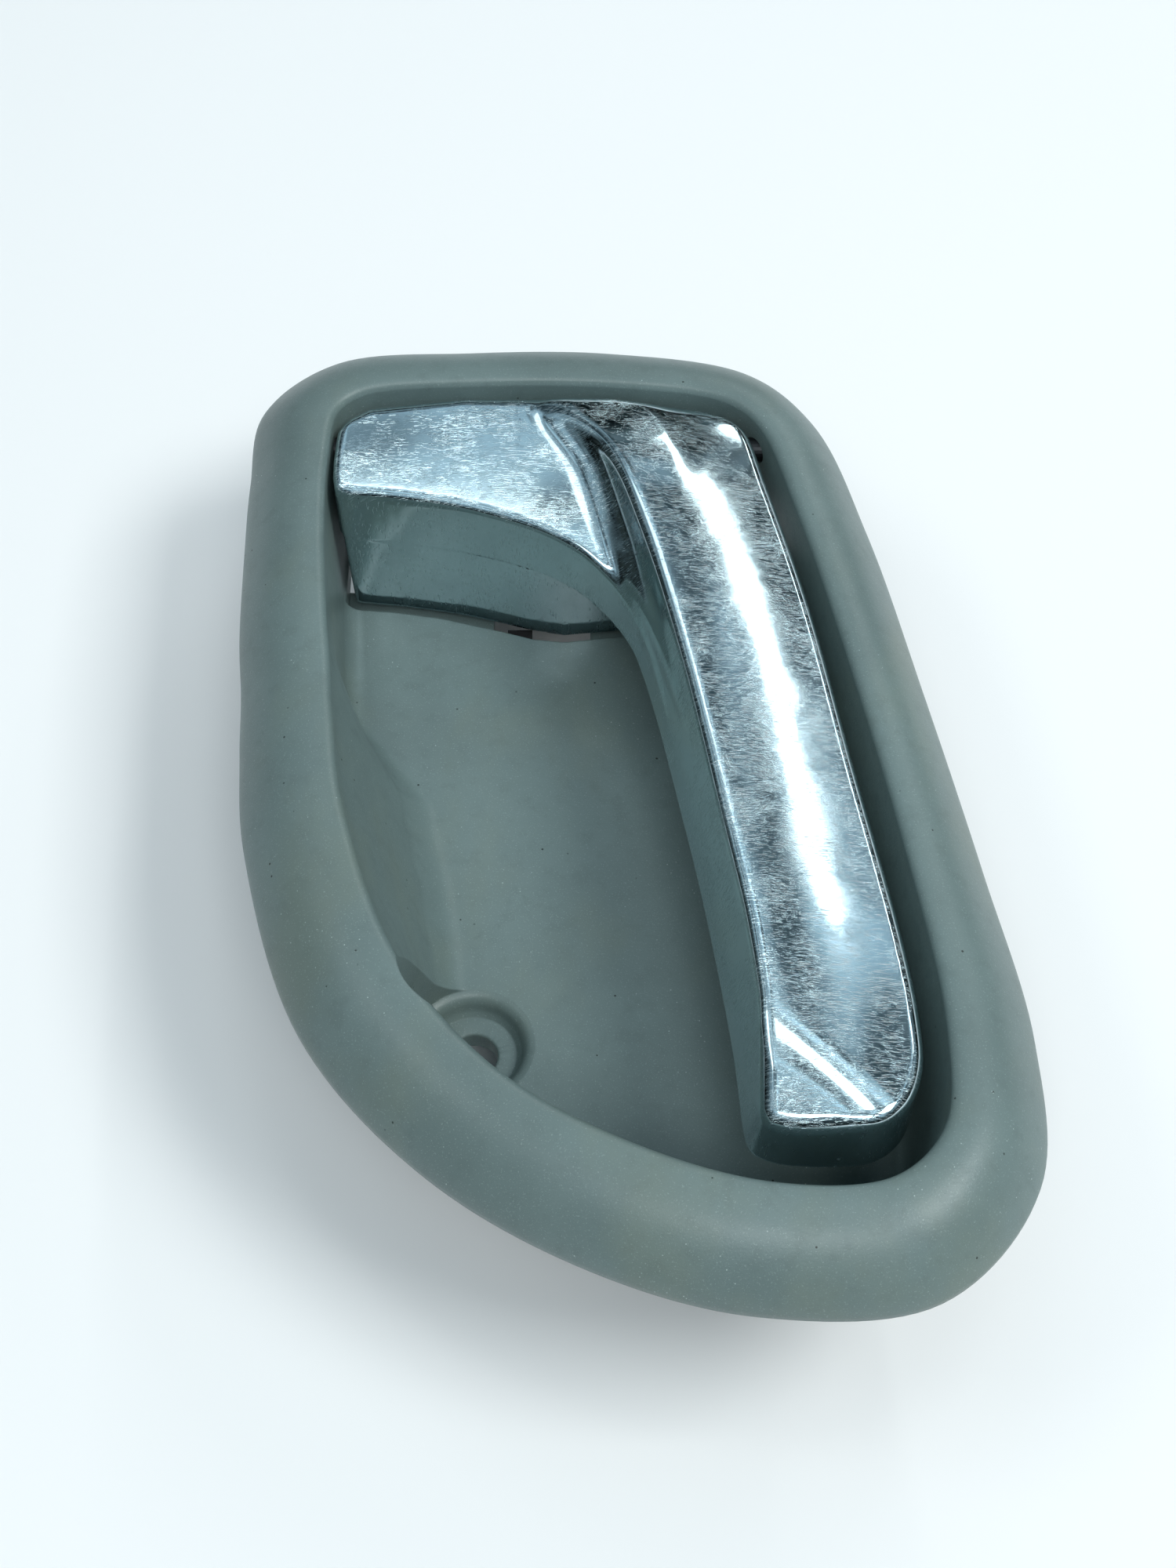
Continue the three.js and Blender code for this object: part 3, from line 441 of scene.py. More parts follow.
def rear_profile(lip, floor, thick):
    """Rear of one section, from the floor edge out to the flange, this much thicker than the solid."""
    return [
        (None, floor + 2.8 + 0.083 * (floor - lip), BACK_Z - thick),
        (None, floor - 1.2 - thick, BACK_Z - thick),
        (None, lerp(lip, floor, 0.78) - WALL - thick, FLOOR_Z + 2),
        (None, lerp(lip, floor, 0.35) - WALL - thick, -1.0),
        (None, lip - WALL - thick, 4.6 - thick * 0.6),
        (0.25, 0, dome_z(0.25) - WALL - thick),
        (0.5, 0, dome_z(0.5) - WALL - thick),
        (0.72, 0, dome_z(0.75) - WALL - thick),
        (0.83 + thick * 0.02, 0, -thick * 0.2),
    ]


def rings_of(profile_of, lines, *more):
    """One ring of points for each row of the section."""
    outer, crest, depth, inward = lines
    n = len(crest)
    table = [profile_of(depth[i][0], depth[i][1], *more) for i in range(n)]
    rings = []
    for k in range(len(table[0])):
        ring = []
        for i in range(n):
            share, d, z = table[i][k]
            if share is None:
                p = crest[i] + inward[i] * d
            else:
                p = lerp(crest[i], outer[i], share)
            ring.append((p[0], p[1], z))
        rings.append(ring)
    return rings


def build_bezel():
    lines = bezel_lines()
    front = rings_of(front_profile, lines)
    rear = rings_of(rear_profile, lines, SKIN)
    # The floor is closed by a cap in the first ring of the rear and the last of the front.
    shell = loft(list(reversed(front)) + list(reversed(rear)))
    shell = to_object(shell, "bezel")
    under = rings_of(rear_profile, lines, CUT_SKIN)
    past_lip = lerp(lines[1], lines[0], 1.12)
    flange = [[(x, y, z) for x, y in past_lip] for z in (-0.06, 30.0)]
    cutter = to_object(loft(under + flange), "cutter")
    works = cad_copy("bezel_housing", "works")
    combine(works, cutter, "DIFFERENCE")
    slot = to_object(prism(SLOT, -40, -11.5), "slot")
    inside = to_object(prism([tuple(p) for p in lines[1]], -45, 0), "inside")
    combine(slot, inside, "INTERSECT")
    combine(shell, slot, "DIFFERENCE")
    combine(shell, works, "UNION")
    well = [(3.0, -40), (3.0, -19.35), (3.1, -19.15), (3.35, -19.0), (4.9, -19.0), (5.5, -18.9)]
    well += [(5.95, -18.55), (6.2, -18.0), (6.35, -17.4), (6.55, -16.9), (6.9, -16.45), (7.35, -16.15)]
    well += [(7.8, -16.02), (7.9, -15.8), (8.0, -13.0), (8.0, 12.0)]
    combine(shell, to_object(lathe_z(well, SCREW_X, SCREW_Y), "well"), "DIFFERENCE")
    finish_piece(shell)
    weighted = shell.modifiers.new("even shading", "WEIGHTED_NORMAL")
    weighted.keep_sharp = True
    weighted.weight = 60
    return shell


# ---- lever --------------------------------------------------------------------------------------
VOXEL = 0.42
CORE_VOXEL = 1.0
# The hollow is this far inside the outer skin, and the works from the solid end a little outside it.
HOLLOW_INSET = 1.5
CORE_INSET = 1.3
# Height where an open-footed blank ends, well below the lever.
OPEN_FOOT_Z = -30.0
# Turns of pulling on to the form, the longest pull of one turn, and the turns that start evened out.
PULLS = 7
LONGEST_PULL = 0.9
EVENED_PULLS = (3, 5)


def outline_distance(x, y, outline):
    """Signed distance to a closed outline, negative inside."""
    best = np.full(x.shape, 1e9)
    inside = np.zeros(x.shape, bool)
    for (ax, ay), (bx, by) in zip(outline, np.roll(outline, -1, axis=0)):
        ex, ey = bx - ax, by - ay
        wx, wy = x - ax, y - ay
        t = np.clip((wx * ex + wy * ey) / (ex * ex + ey * ey + 1e-12), 0, 1)
        best = np.minimum(best, (wx - ex * t) ** 2 + (wy - ey * t) ** 2)
        crosses = (ay <= y) != (by <= y)
        inside ^= crosses & (wx < wy * ex / (ey if abs(ey) > 1e-9 else 1e-9))
    return np.where(inside, -1.0, 1.0) * np.sqrt(best)


def round_max(a, b, r):
    """Both at once, with the outer edge rounded."""
    u = a + r
    v = b + r
    return np.minimum(np.maximum(u, v), 0) + np.hypot(np.maximum(u, 0), np.maximum(v, 0)) - r


def soft_min(a, b, k):
    """Either of two, with the inner corner filled."""
    h = np.clip(0.5 + 0.5 * (b - a) / k, 0, 1)
    return lerp(b, a, h) - k * h * (1 - h)


def smooth_step(a, b, v):
    t = np.clip((v - a) / (b - a), 0, 1)
    return t * t * (3 - 2 * t)


class LeverForm:
    """Field that is zero on the lever's outer skin, in millimetres."""

    def __init__(self):
        self.hub = smooth_loop(HUB_PLAN, 4)
        self.arm = smooth_loop(ARM_PLAN, 5)
        self.deep = smooth_loop(DEEP_PLAN, 4)
        rows = np.array(ARM_ROWS[::-1])
        self.y = np.arange(-64.0, 66.0, 0.5)
        kernel = np.exp(-0.5 * (np.arange(-16, 17) * 0.5 / 2.6) ** 2)
        kernel /= kernel.sum()
        self.rows = []
        for k in range(1, 6):
            line = np.interp(self.y, rows[:, 0], rows[:, k])
            line = np.convolve(np.pad(line, 16, mode="edge"), kernel, mode="valid")
            self.rows.append(line)

    def __call__(self, p, open_foot=False):
        x, y, z = p[:, 0], p[:, 1], p[:, 2]
        lip, crest, crest_z, right, right_z = (np.interp(y, self.y, r) for r in self.rows)
        crown = HUB_Z - 0.002 * (y - 47) ** 2 - 0.0007 * (x + 20) ** 2
        hub = round_max(outline_distance(x, y, self.hub), z - crown, 1.2)
        slope = (crest - lip) / (crest_z + 1)
        flare = (crest - slope * (crest_z - z) - x) / np.sqrt(1 + slope**2)
        t = np.clip((x - crest) / (right - crest), 0, 1.4)
        top = (z - (crest_z - (crest_z - right_z) * t**1.5)) * 0.98
        arm = round_max(flare, top, 1.3)
        arm = round_max(arm, outline_distance(x, y, self.arm), 1.4)
        facet = sum((v - at) * way for v, at, way in zip((x, y, z), TIP_POINT, TIP_FACING))
        arm = round_max(arm, facet, 1.6)
        deep = outline_distance(x, y, self.deep)
        draft = -37.3 + 1.1 * (6.2 - z) / 22.6 - x
        deep = round_max(deep, draft, 0.6)
        deep = np.maximum(deep, z - 6.2)
        if not open_foot:
            hub = np.maximum(hub, HUB_EDGE_Z - z)
            arm = round_max(arm, ARM_FOOT_Z - z, 0.35)
            deep = round_max(deep, HUB_FOOT_Z - z, 0.3)
        k = 0.5 + 5.4 * smooth_step(4.5, 8.8, z)
        body = soft_min(hub, arm, k)
        body = soft_min(body, deep, 0.3)
        wall = np.array(HINGE_WALL)
        reach = np.interp(x, wall[:, 0], wall[:, 1]) - PIVOT_Y - 0.45
        dy, dz = y - PIVOT_Y, z - PIVOT_Z
        turn = math.radians(OPEN_DEG)
        tangent = dy * math.cos(turn) + dz * math.sin(turn) - reach
        swing = np.where(np.arctan2(dz, dy) < turn, np.hypot(dy, dz) - reach, tangent)
        swing = np.where((dz < 0) & (dy < 0), -6.0, swing)
        return round_max(body, swing, 1.0)

    def gradient(self, p, h, **words):
        out = np.empty_like(p)
        for k in range(3):
            step = np.zeros(3)
            step[k] = h
            out[:, k] = (self(p + step, **words) - self(p - step, **words)) / (2 * h)
        return out


def lever_blank(foot):
    """Overlapping rough solids of the hub, the arm and the deep walls."""
    footed = foot > BACK_Z
    parts = [prism(HUB_PLAN, HUB_EDGE_Z if footed else foot, HUB_Z)]
    rings = []
    for y, lip, crest, crest_z, right, right_z in ARM_ROWS:
        low = ARM_FOOT_Z if footed else foot
        middle = (lerp(crest, right, 0.5), y, lerp(crest_z, right_z, 0.35))
        ring = [(lip, y, low), (crest, y, crest_z), middle, (right, y, right_z), (right, y, low)]
        rings.append(ring)
    parts.append(loft(rings))
    parts.append(prism(DEEP_PLAN, min(HUB_FOOT_Z, foot), 6.2))
    whole = bmesh.new()
    for bm in parts:
        me = bpy.data.meshes.new("part")
        bm.to_mesh(me)
        bm.free()
        whole.from_mesh(me)
        bpy.data.meshes.remove(me)
    return whole


def relaxed(p, pairs):
    """Points moved half way to the middle of their neighbours."""
    total = np.zeros_like(p)
    a, b = pairs[:, 0], pairs[:, 1]
    for k in range(3):
        total[:, k] = np.bincount(a, p[b, k], len(p)) + np.bincount(b, p[a, k], len(p))
    count = np.bincount(a, minlength=len(p)) + np.bincount(b, minlength=len(p))
    return 0.5 * p + 0.5 * total / np.maximum(count, 1)[:, None]


def lever_skin(form, name, voxel, inset=0.0, open_foot=False):
    """Even mesh pulled on to the form, or to a surface inside it."""
    ob = to_object(lever_blank(OPEN_FOOT_Z if open_foot else HUB_FOOT_Z), name)
    m = ob.modifiers.new("even", "REMESH")
    m.mode = "VOXEL"
    m.voxel_size = voxel
    apply_modifiers(ob)
    me = ob.data
    p = np.empty(len(me.vertices) * 3)
    me.vertices.foreach_get("co", p)
    p = p.reshape(-1, 3)
    fixed = p[:, 2] < OPEN_FOOT_Z + 1
    pairs = np.empty(len(me.edges) * 2, int)
    me.edges.foreach_get("vertices", pairs)
    pairs = pairs.reshape(-1, 2)
    for turn in range(PULLS):
        if turn in EVENED_PULLS and not open_foot:
            p = relaxed(p, pairs)
        f = form(p, open_foot=open_foot) + inset
        g = form.gradient(p, 0.06, open_foot=open_foot)
        size = np.maximum((g**2).sum(axis=1), 0.05)
        step = np.clip(f / size, -LONGEST_PULL, LONGEST_PULL)
        step[fixed] = 0
        p -= g * step[:, None]
    me.vertices.foreach_set("co", p.ravel())
    me.update()
    return ob


def shade_by_form(ob, form):
    """Normals of the outer skin taken from the form itself, so that reflections run smooth."""
    me = ob.data
    p = np.empty(len(me.vertices) * 3)
    me.vertices.foreach_get("co", p)
    p = p.reshape(-1, 3) / MM
    f = form(p)
    g = form.gradient(p, 0.3)
    g /= np.maximum(np.linalg.norm(g, axis=1), 1e-6)[:, None]
    on_skin = np.abs(f) < 0.12
    corner = np.empty(len(me.loops), int)
    me.loops.foreach_get("vertex_index", corner)
    normal = np.empty(len(me.polygons) * 3)
    me.polygons.foreach_get("normal", normal)
    normal = normal.reshape(-1, 3)
    total = np.empty(len(me.polygons), int)
    me.polygons.foreach_get("loop_total", total)
    of_face = np.repeat(np.arange(len(me.polygons)), total)
    wanted = g[corner]
    agree = (wanted * normal[of_face]).sum(axis=1) > 0.6
    use = on_skin[corner] & agree
    wanted[~use] = 0
    me.normals_split_custom_set([tuple(n) for n in wanted])


def build_lever():
    form = LeverForm()
    outer = lever_skin(form, "lever", VOXEL)
    hollow = lever_skin(form, "hollow", CORE_VOXEL, inset=HOLLOW_INSET, open_foot=True)
    combine(outer, hollow, "DIFFERENCE")
    works = cad_copy("lever_shell", "works")
    core = lever_skin(form, "core", CORE_VOXEL, inset=CORE_INSET, open_foot=True)
    combine(works, core, "INTERSECT")
    combine(outer, works, "UNION")
    combine(outer, to_object(block(-34.8, 3.0, 50, 62, -20, -1.6), "rear"), "DIFFERENCE")
    combine(outer, to_object(block(-15.5, -8.5, 53.5, 62, -20, 3.4), "rear"), "DIFFERENCE")
    for x0, x1, r in PIN_BORES:
        combine(outer, to_object(bar_x(x0, x1, r, PIVOT_Y, PIVOT_Z), "bore"), "DIFFERENCE")
    finish_piece(outer, 40)
    shade_by_form(outer, form)
    return outer


# ---- pads ---------------------------------------------------------------------------------------
def build_pad(node, name):
    """Cut pad glued by its upper face: the free face is crowned and the sides pull in between."""
    low, high = (Vector(corner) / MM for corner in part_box(node))
    middle = (low + high) / 2
    size = high - low
    bm = bmesh.new()
    bmesh.ops.create_cube(bm, size=1.0)
    bmesh.ops.scale(bm, vec=size, verts=bm.verts)
    bmesh.ops.bevel(
        bm, geom=bm.edges[:], offset=0.55, segments=4, profile=0.5, affect="EDGES", material=-1
    )
    long_edges = [e for e in bm.edges if e.calc_length() > 5.0]
    bmesh.ops.subdivide_edges(bm, edges=long_edges, cuts=14, use_grid_fill=True)
    short_edges = [e for e in bm.edges if 1.4 < e.calc_length() < 5.0]
    bmesh.ops.subdivide_edges(bm, edges=short_edges, cuts=5, use_grid_fill=True)
    for v in bm.verts:
        across, along = 2 * v.co.x / size.x, 2 * v.co.y / size.y
        free = 0.5 - v.co.z / size.z
        waist = 1 - 0.035 * 4 * free * (1 - free)
        v.co.x *= waist
        v.co.y *= waist
        v.co.z += free * 0.4 * (across**2 + along**2) / 2
    bmesh.ops.translate(bm, vec=middle, verts=bm.verts)
    bmesh.ops.recalc_face_normals(bm, faces=bm.faces)
    ob = to_object(bm, name)
    finish_piece(ob, 50)
    return ob


# ---- finishes -----------------------------------------------------------------------------------
class Recipe:
    """Shorthand for the nodes of one finish."""

    def __init__(self, name):
        self.mat = bpy.data.materials.new(name)
        self.mat.use_nodes = True
        self.tree = self.mat.node_tree
        self.tree.nodes.clear()
        self.out = self.tree.nodes.new("ShaderNodeOutputMaterial")
        self.bsdf = self.tree.nodes.new("ShaderNodeBsdfPrincipled")
        self.link(self.bsdf.outputs[0], self.out.inputs[0])
        coords = self.tree.nodes.new("ShaderNodeTexCoord")
        self.object = coords.outputs["Object"]

    def link(self, a, b):
        self.tree.links.new(a, b)

    def put(self, n, name, value):
        if isinstance(value, bpy.types.NodeSocket):
            self.link(value, n.inputs[name])
        else:
            n.inputs[name].default_value = value

    def mapped(self, scale=(1, 1, 1), turn=(0, 0, 0), shift=(0, 0, 0)):
        n = self.tree.nodes.new("ShaderNodeMapping")
        self.link(self.object, n.inputs["Vector"])
        n.inputs["Scale"].default_value = scale
        n.inputs["Rotation"].default_value = [math.radians(a) for a in turn]
        n.inputs["Location"].default_value = shift
        return n.outputs[0]

    def noise(self, scale, detail=3.0, rough=0.55, vector=None, warp=0.0):
        n = self.tree.nodes.new("ShaderNodeTexNoise")
        self.link(vector or self.object, n.inputs["Vector"])
        n.inputs["Scale"].default_value = scale
        n.inputs["Detail"].default_value = detail
        n.inputs["Roughness"].default_value = rough
        n.inputs["Distortion"].default_value = warp
        return n.outputs["Fac"]

    def cells(self, scale, vector=None):
        n = self.tree.nodes.new("ShaderNodeTexVoronoi")
        self.link(vector or self.object, n.inputs["Vector"])
        n.inputs["Scale"].default_value = scale
        return n.outputs["Distance"]

    def ramp(self, value, *stops):
        """Map Range through two stops, each an input and an output."""
        (a, out_a), (b, out_b) = stops
        n = self.tree.nodes.new("ShaderNodeMapRange")
        n.interpolation_type = "SMOOTHSTEP"
        self.link(value, n.inputs[0])
        for k, v in enumerate((a, b, out_a, out_b)):
            n.inputs[k + 1].default_value = v
        return n.outputs[0]

    def math(self, op, a, b):
        n = self.tree.nodes.new("ShaderNodeMath")
        n.operation = op
        for k, v in enumerate((a, b)):
            if isinstance(v, bpy.types.NodeSocket):
                self.link(v, n.inputs[k])
            else:
                n.inputs[k].default_value = v
        return n.outputs[0]

    def mix(self, fac, a, b):
        n = self.tree.nodes.new("ShaderNodeMix")
        n.data_type = "RGBA"
        for k, v in ((0, fac), (6, a), (7, b)):
            if isinstance(v, bpy.types.NodeSocket):
                self.link(v, n.inputs[k])
            else:
                n.inputs[k].default_value = v
        return n.outputs[2]

    def bump(self, height, strength, distance, under=None):
        n = self.tree.nodes.new("ShaderNodeBump")
        n.inputs["Strength"].default_value = strength
        n.inputs["Distance"].default_value = distance
        self.link(height, n.inputs["Height"])
        if under is not None:
            self.link(under, n.inputs["Normal"])
        return n.outputs[0]

    def rounded(self, radius):
        n = self.tree.nodes.new("ShaderNodeBevel")
        n.samples = 4
        n.inputs["Radius"].default_value = radius
        return n.outputs[0]

    def scratches(self, scale, angles, thin=0.02):
        """Fine straight scores in a few directions, each only here and there."""
        total = None
        for k, angle in enumerate(angles):
            v = self.mapped((60, 2600, 60), (0, 0, angle), (0.013 * k, 0.007 * k, 0))
            line = self.noise(scale, 1.0, 0.4, v)
            line = self.ramp(line, (0.70 - thin, 0.0), (0.74, 1.0))
            where = self.noise(120, 2.0, 0.5, self.mapped(shift=(0.1 * k, 0.3, 0)))
            where = self.ramp(where, (0.5, 0), (0.62, 1))
            line = self.math("MULTIPLY", line, where)
            total = line if total is None else self.math("MAXIMUM", total, line)
        return total

    def set(self, **values):
        for key, value in values.items():
            self.put(self.bsdf, key.replace("_", " "), value)


def rgb(r, g, b):
    """Linear colour from screen values."""
    out = []
    for v in (r, g, b):
        c = v / 255
        out.append(c / 12.92 if c <= 0.04045 else ((c + 0.055) / 1.055) ** 2.4)
    return (*out, 1.0)


def moulded_grey(name="moulded grey", tint=1.0):
    look = bpy.context.scene.handle_finish
    m = Recipe(name)
    base = tuple(c * tint for c in look.grey) + (1.0,)
    pale = tuple(min(1.0, c * 1.14 * tint) for c in look.grey) + (1.0,)
    dark = tuple(c * 0.82 * tint for c in look.grey) + (1.0,)
    cloud = m.noise(45, 4, 0.6)
    mottle = m.noise(420, 3, 0.6)
    colour = m.mix(m.ramp(cloud, (0.35, 0), (0.7, 1)), base, pale)
    colour = m.mix(m.math("MULTIPLY", m.ramp(mottle, (0.5, 0), (0.72, 1)), 0.35), colour, dark)
    stain = m.ramp(m.noise(95, 5, 0.7, m.mapped(shift=(0.031, 0.012, 0.02)), 0.6), (0.64, 0), (0.8, 1))
    colour = m.mix(m.math("MULTIPLY", stain, 0.3), colour, rgb(52, 60, 54))
    grime = m.ramp(m.noise(38, 4, 0.6, m.mapped((1, 0.6, 1), shift=(0.02, 0.4, 0.1))), (0.5, 0), (0.68, 1))
    colour = m.mix(m.math("MULTIPLY", grime, 0.22), colour, rgb(118, 124, 104))
    salt = m.ramp(m.noise(5200, 1, 0.5), (0.62, 0), (0.74, 1))
    colour = m.mix(m.math("MULTIPLY", salt, 0.22), colour, rgb(176, 190, 184))
    specks = m.ramp(m.cells(420), (0.05, 1), (0.075, 0))
    speck_here = m.ramp(m.noise(180, 2, 0.5), (0.55, 0), (0.6, 1))
    specks = m.math("MULTIPLY", specks, speck_here)
    colour = m.mix(specks, colour, rgb(40, 46, 42))
    dust = m.ramp(m.cells(900, vector=m.mapped(shift=(0.2, 0.1, 0.3))), (0.05, 1), (0.09, 0))
    dust_here = m.ramp(m.noise(70, 3, 0.6, m.mapped(shift=(0.4, 0.2, 0))), (0.52, 0), (0.6, 1))
    dust = m.math("MULTIPLY", dust, dust_here)
    colour = m.mix(m.math("MULTIPLY", dust, 0.6), colour, rgb(190, 202, 198))
    score = m.scratches(14, (12, 74, -38))
    colour = m.mix(m.math("MULTIPLY", score, 0.45), colour, pale)
    rough = m.math("ADD", m.math("MULTIPLY", cloud, 0.14), 0.27)
    rough = m.math("ADD", rough, m.math("MULTIPLY", mottle, 0.10))
    grain = m.noise(3600, 2, 0.6)
    normal = m.rounded(0.00035)
    normal = m.bump(grain, look.grain, 0.00006, normal)
    normal = m.bump(m.noise(260, 2, 0.5), 0.25, 0.0001, normal)
    normal = m.bump(m.math("SUBTRACT", 1.0, score), 0.3, 0.00005, normal)
    m.set(Base_Color=colour, Roughness=rough, Normal=normal)
    return m.mat


def chrome_plate():
    look = bpy.context.scene.handle_finish
    m = Recipe("chrome plate")
    base = tuple(look.chrome) + (1.0,)
    haze = m.noise(60, 4, 0.65, warp=0.4)
    fine = m.noise(900, 3, 0.6)
    score = m.scratches(12, (8, -22, 37, 63, 96, 131, 154), 0.05)
    dull = m.ramp(m.noise(150, 5, 0.7, m.mapped(shift=(0.3, 0.1, 0.2)), 1.2), (0.58, 0), (0.78, 1))
    pits = m.ramp(m.cells(520, vector=m.mapped(shift=(0.1, 0.4, 0))), (0.035, 1), (0.06, 0))
    pits_here = m.ramp(m.noise(160, 2, 0.5, m.mapped(shift=(0.7, 0.2, 0))), (0.56, 0), (0.62, 1))
    pits = m.math("MULTIPLY", pits, pits_here)
    colour = m.mix(m.math("MULTIPLY", dull, 0.35), base, tuple(c * 0.72 for c in look.chrome) + (1.0,))
    colour = m.mix(m.math("MULTIPLY", pits, 0.8), colour, rgb(46, 54, 50))
    blur = m.math("MULTIPLY", m.ramp(haze, (0.4, 0), (0.75, 1)), 0.09)
    rough = m.math("ADD", look.chrome_roughness, blur)
    rough = m.math("ADD", rough, m.math("MULTIPLY", dull, 0.16))
    rough = m.math("ADD", rough, m.math("MULTIPLY", score, 0.25))
    rough = m.math("ADD", rough, m.math("MULTIPLY", fine, 0.03))
    normal = m.bump(m.noise(38, 2, 0.4), 0.25, 0.0006)
    normal = m.bump(m.math("SUBTRACT", 1.0, score), 0.45, 0.00005, normal)
    normal = m.bump(m.noise(120, 1, 0.4), 0.05, 0.0002, normal)
    normal = m.bump(fine, 0.04, 0.00004, normal)
    m.set(Base_Color=colour, Metallic=1.0, Roughness=rough, Normal=normal)
    return m.mat


def bright_metal(name, colour, rough, brushed=0.2, tarnish=0.3, round_edge=0.00015):
    m = Recipe(name)
    base = rgb(*colour)
    dark = tuple(c * 0.5 for c in base[:3]) + (1.0,)
    cloud = m.noise(230, 4, 0.65)
    col = m.mix(m.math("MULTIPLY", m.ramp(cloud, (0.42, 0), (0.72, 1)), tarnish), base, dark)
    grain = m.noise(60, 2, 0.5, m.mapped((12, 160, 160)))
    r = m.math("ADD", rough, m.math("MULTIPLY", cloud, 0.18))
    normal = m.rounded(round_edge)
    normal = m.bump(grain, brushed, 0.00004, normal)
    m.set(Base_Color=col, Metallic=1.0, Roughness=r, Normal=normal)
    return m.mat


def soft_plastic(name, colour, rough, grain=0.25, fleck=0.2):
    m = Recipe(name)
    base = rgb(*colour)
    shade = tuple(c * 0.68 for c in base[:3]) + (1.0,)
    cloud = m.noise(150, 4, 0.6)
    col = m.mix(m.math("MULTIPLY", m.ramp(cloud, (0.4, 0), (0.75, 1)), fleck), base, shade)
    r = m.math("ADD", rough, m.math("MULTIPLY", cloud, 0.15))
    normal = m.rounded(0.00025)
    normal = m.bump(m.noise(2600, 2, 0.6), grain, 0.00005, normal)
    m.set(Base_Color=col, Roughness=r, Normal=normal)
    return m.mat


def foam():
    m = Recipe("closed cell foam")
    pores = m.cells(1500)
    col = m.mix(m.ramp(pores, (0.1, 1), (0.5, 0)), rgb(48, 51, 51), rgb(22, 24, 24))
    col = m.mix(m.math("MULTIPLY", m.noise(200, 3, 0.6), 0.25), col, rgb(84, 88, 84))
    normal = m.bump(pores, 0.7, 0.0003)
    m.set(Base_Color=col, Roughness=0.95, Normal=normal)
    return m.mat


def give(ob, mat):
    ob.data.materials.clear()
    ob.data.materials.append(mat)


def finish_node(node, mat):
    """New finish on a node that keeps its own shape."""
    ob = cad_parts[node]
    for k in range(len(ob.material_slots)):
        ob.material_slots[k].material = mat
    if not ob.material_slots:
        ob.data.materials.append(mat)


# ---- settings -----------------------------------------------------------------------------------
class HandleFinish(bpy.types.PropertyGroup):
    grey: bpy.props.FloatVectorProperty(
        name="Moulding colour",
        description="Colour of the moulded bezel, linear",
        default=(0.128, 0.172, 0.168),
        subtype="COLOR",
        min=0.0,
        max=1.0,
    )
    chrome: bpy.props.FloatVectorProperty(
        name="Chrome colour",
        description="Reflection colour of the plate, linear",
        default=(0.63, 0.76, 0.80),
        subtype="COLOR",
        min=0.0,
        max=1.0,
    )
    chrome_roughness: bpy.props.FloatProperty(
        name="Chrome roughness",
        description="Blur of the plate between its scratches",
        default=0.05,
        subtype="FACTOR",
        min=0.0,
        max=1.0,
    )
    grain: bpy.props.FloatProperty(
        name="Grain",
        description="Strength of the fine grain on the moulding",
        default=0.35,
        subtype="FACTOR",
        min=0.0,
        max=1.0,
    )


class StudioSizes(bpy.types.PropertyGroup):
    distance: bpy.props.FloatProperty(
        name="Camera distance",
        description="From the middle of the view to the camera",
        default=0.2886,
        unit="LENGTH",
    )
    elevation: bpy.props.FloatProperty(
        name="Camera elevation",
        description="Height of the camera above the horizon",
        default=math.radians(56),
        subtype="ANGLE",
    )
    focal: bpy.props.FloatProperty(
        name="Focal length",
        description="Of the lens, in millimetres on a 36 mm sensor",
        default=52.2,
    )
    floor: bpy.props.FloatProperty(
        name="Floor width",
        description="Side of the pale floor",
        default=24.0,
        unit="LENGTH",
    )


# ---- operators ----------------------------------------------------------------------------------
class HANDLE_OT_bezel(bpy.types.Operator):
    """Moulded bezel with its finger cup, ribs, ears, hooks and boss"""

    bl_idname = "handle.bezel"
    bl_label = "Bezel and finger cup"

    def execute(self, context):
        ob = build_bezel()
        give(ob, moulded_grey())
        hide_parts("bezel_housing")
        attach(ob, "housing")
        return {"FINISHED"}


class HANDLE_OT_lever(bpy.types.Operator):
    """Chrome-plated lever: hub plate, arm and deep walls"""

    bl_idname = "handle.lever"
    bl_label = "Chrome lever"

    def execute(self, context):
        ob = build_lever()
        give(ob, chrome_plate())
        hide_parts("lever_shell")
        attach(ob, "lever")
        return {"FINISHED"}


class HANDLE_OT_works(bpy.types.Operator):
    """Finishes of the pin, bushes, crank, clips, screws, springs and rubber"""

    bl_idname = "handle.works"
    bl_label = "Hidden works"

    def execute(self, context):
        black = soft_plastic("black nylon", (34, 36, 37), 0.42)
        white = soft_plastic("natural acetal", (222, 218, 204), 0.34, 0.12, 0.15)
        pin = bright_metal("blackened steel", (58, 60, 62), 0.38, 0.15, 0.4)
        # Crank's zinc plate: its colour and heavy tarnish are painted darker than zinc, as painted shade
        # for where it shows through the slot gap.
        zinc = bright_metal("zinc plate with painted shade", (112, 112, 106), 0.45, 0.3, 0.6)
        screw = bright_metal("zinc screw", (160, 162, 158), 0.28, 0.2, 0.4, 0.0001)
        spring = bright_metal("spring steel", (92, 94, 98), 0.36, 0.25, 0.5)
        rubber = soft_plastic("rubber", (30, 30, 31), 0.78, 0.35, 0.3)
        grey = moulded_grey("plate grey", 0.9)
        table = {
            black: ["bearing_cap_left", "bearing_cap_right"],
            white: ["pivot_bush_left", "pivot_bush_right", "rod_clip"],
            pin: ["pivot_pin"],
            zinc: ["lever_crank"],
            screw: [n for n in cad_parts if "screw" in n],
            spring: [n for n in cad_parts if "spring" in n or "trim_clip" in n],
            rubber: ["closing_buffer", "opening_buffer"],
            grey: ["lever_back_plate"],
        }
        for mat, nodes in table.items():
            for n in nodes:
                finish_node(n, mat)
        return {"FINISHED"}


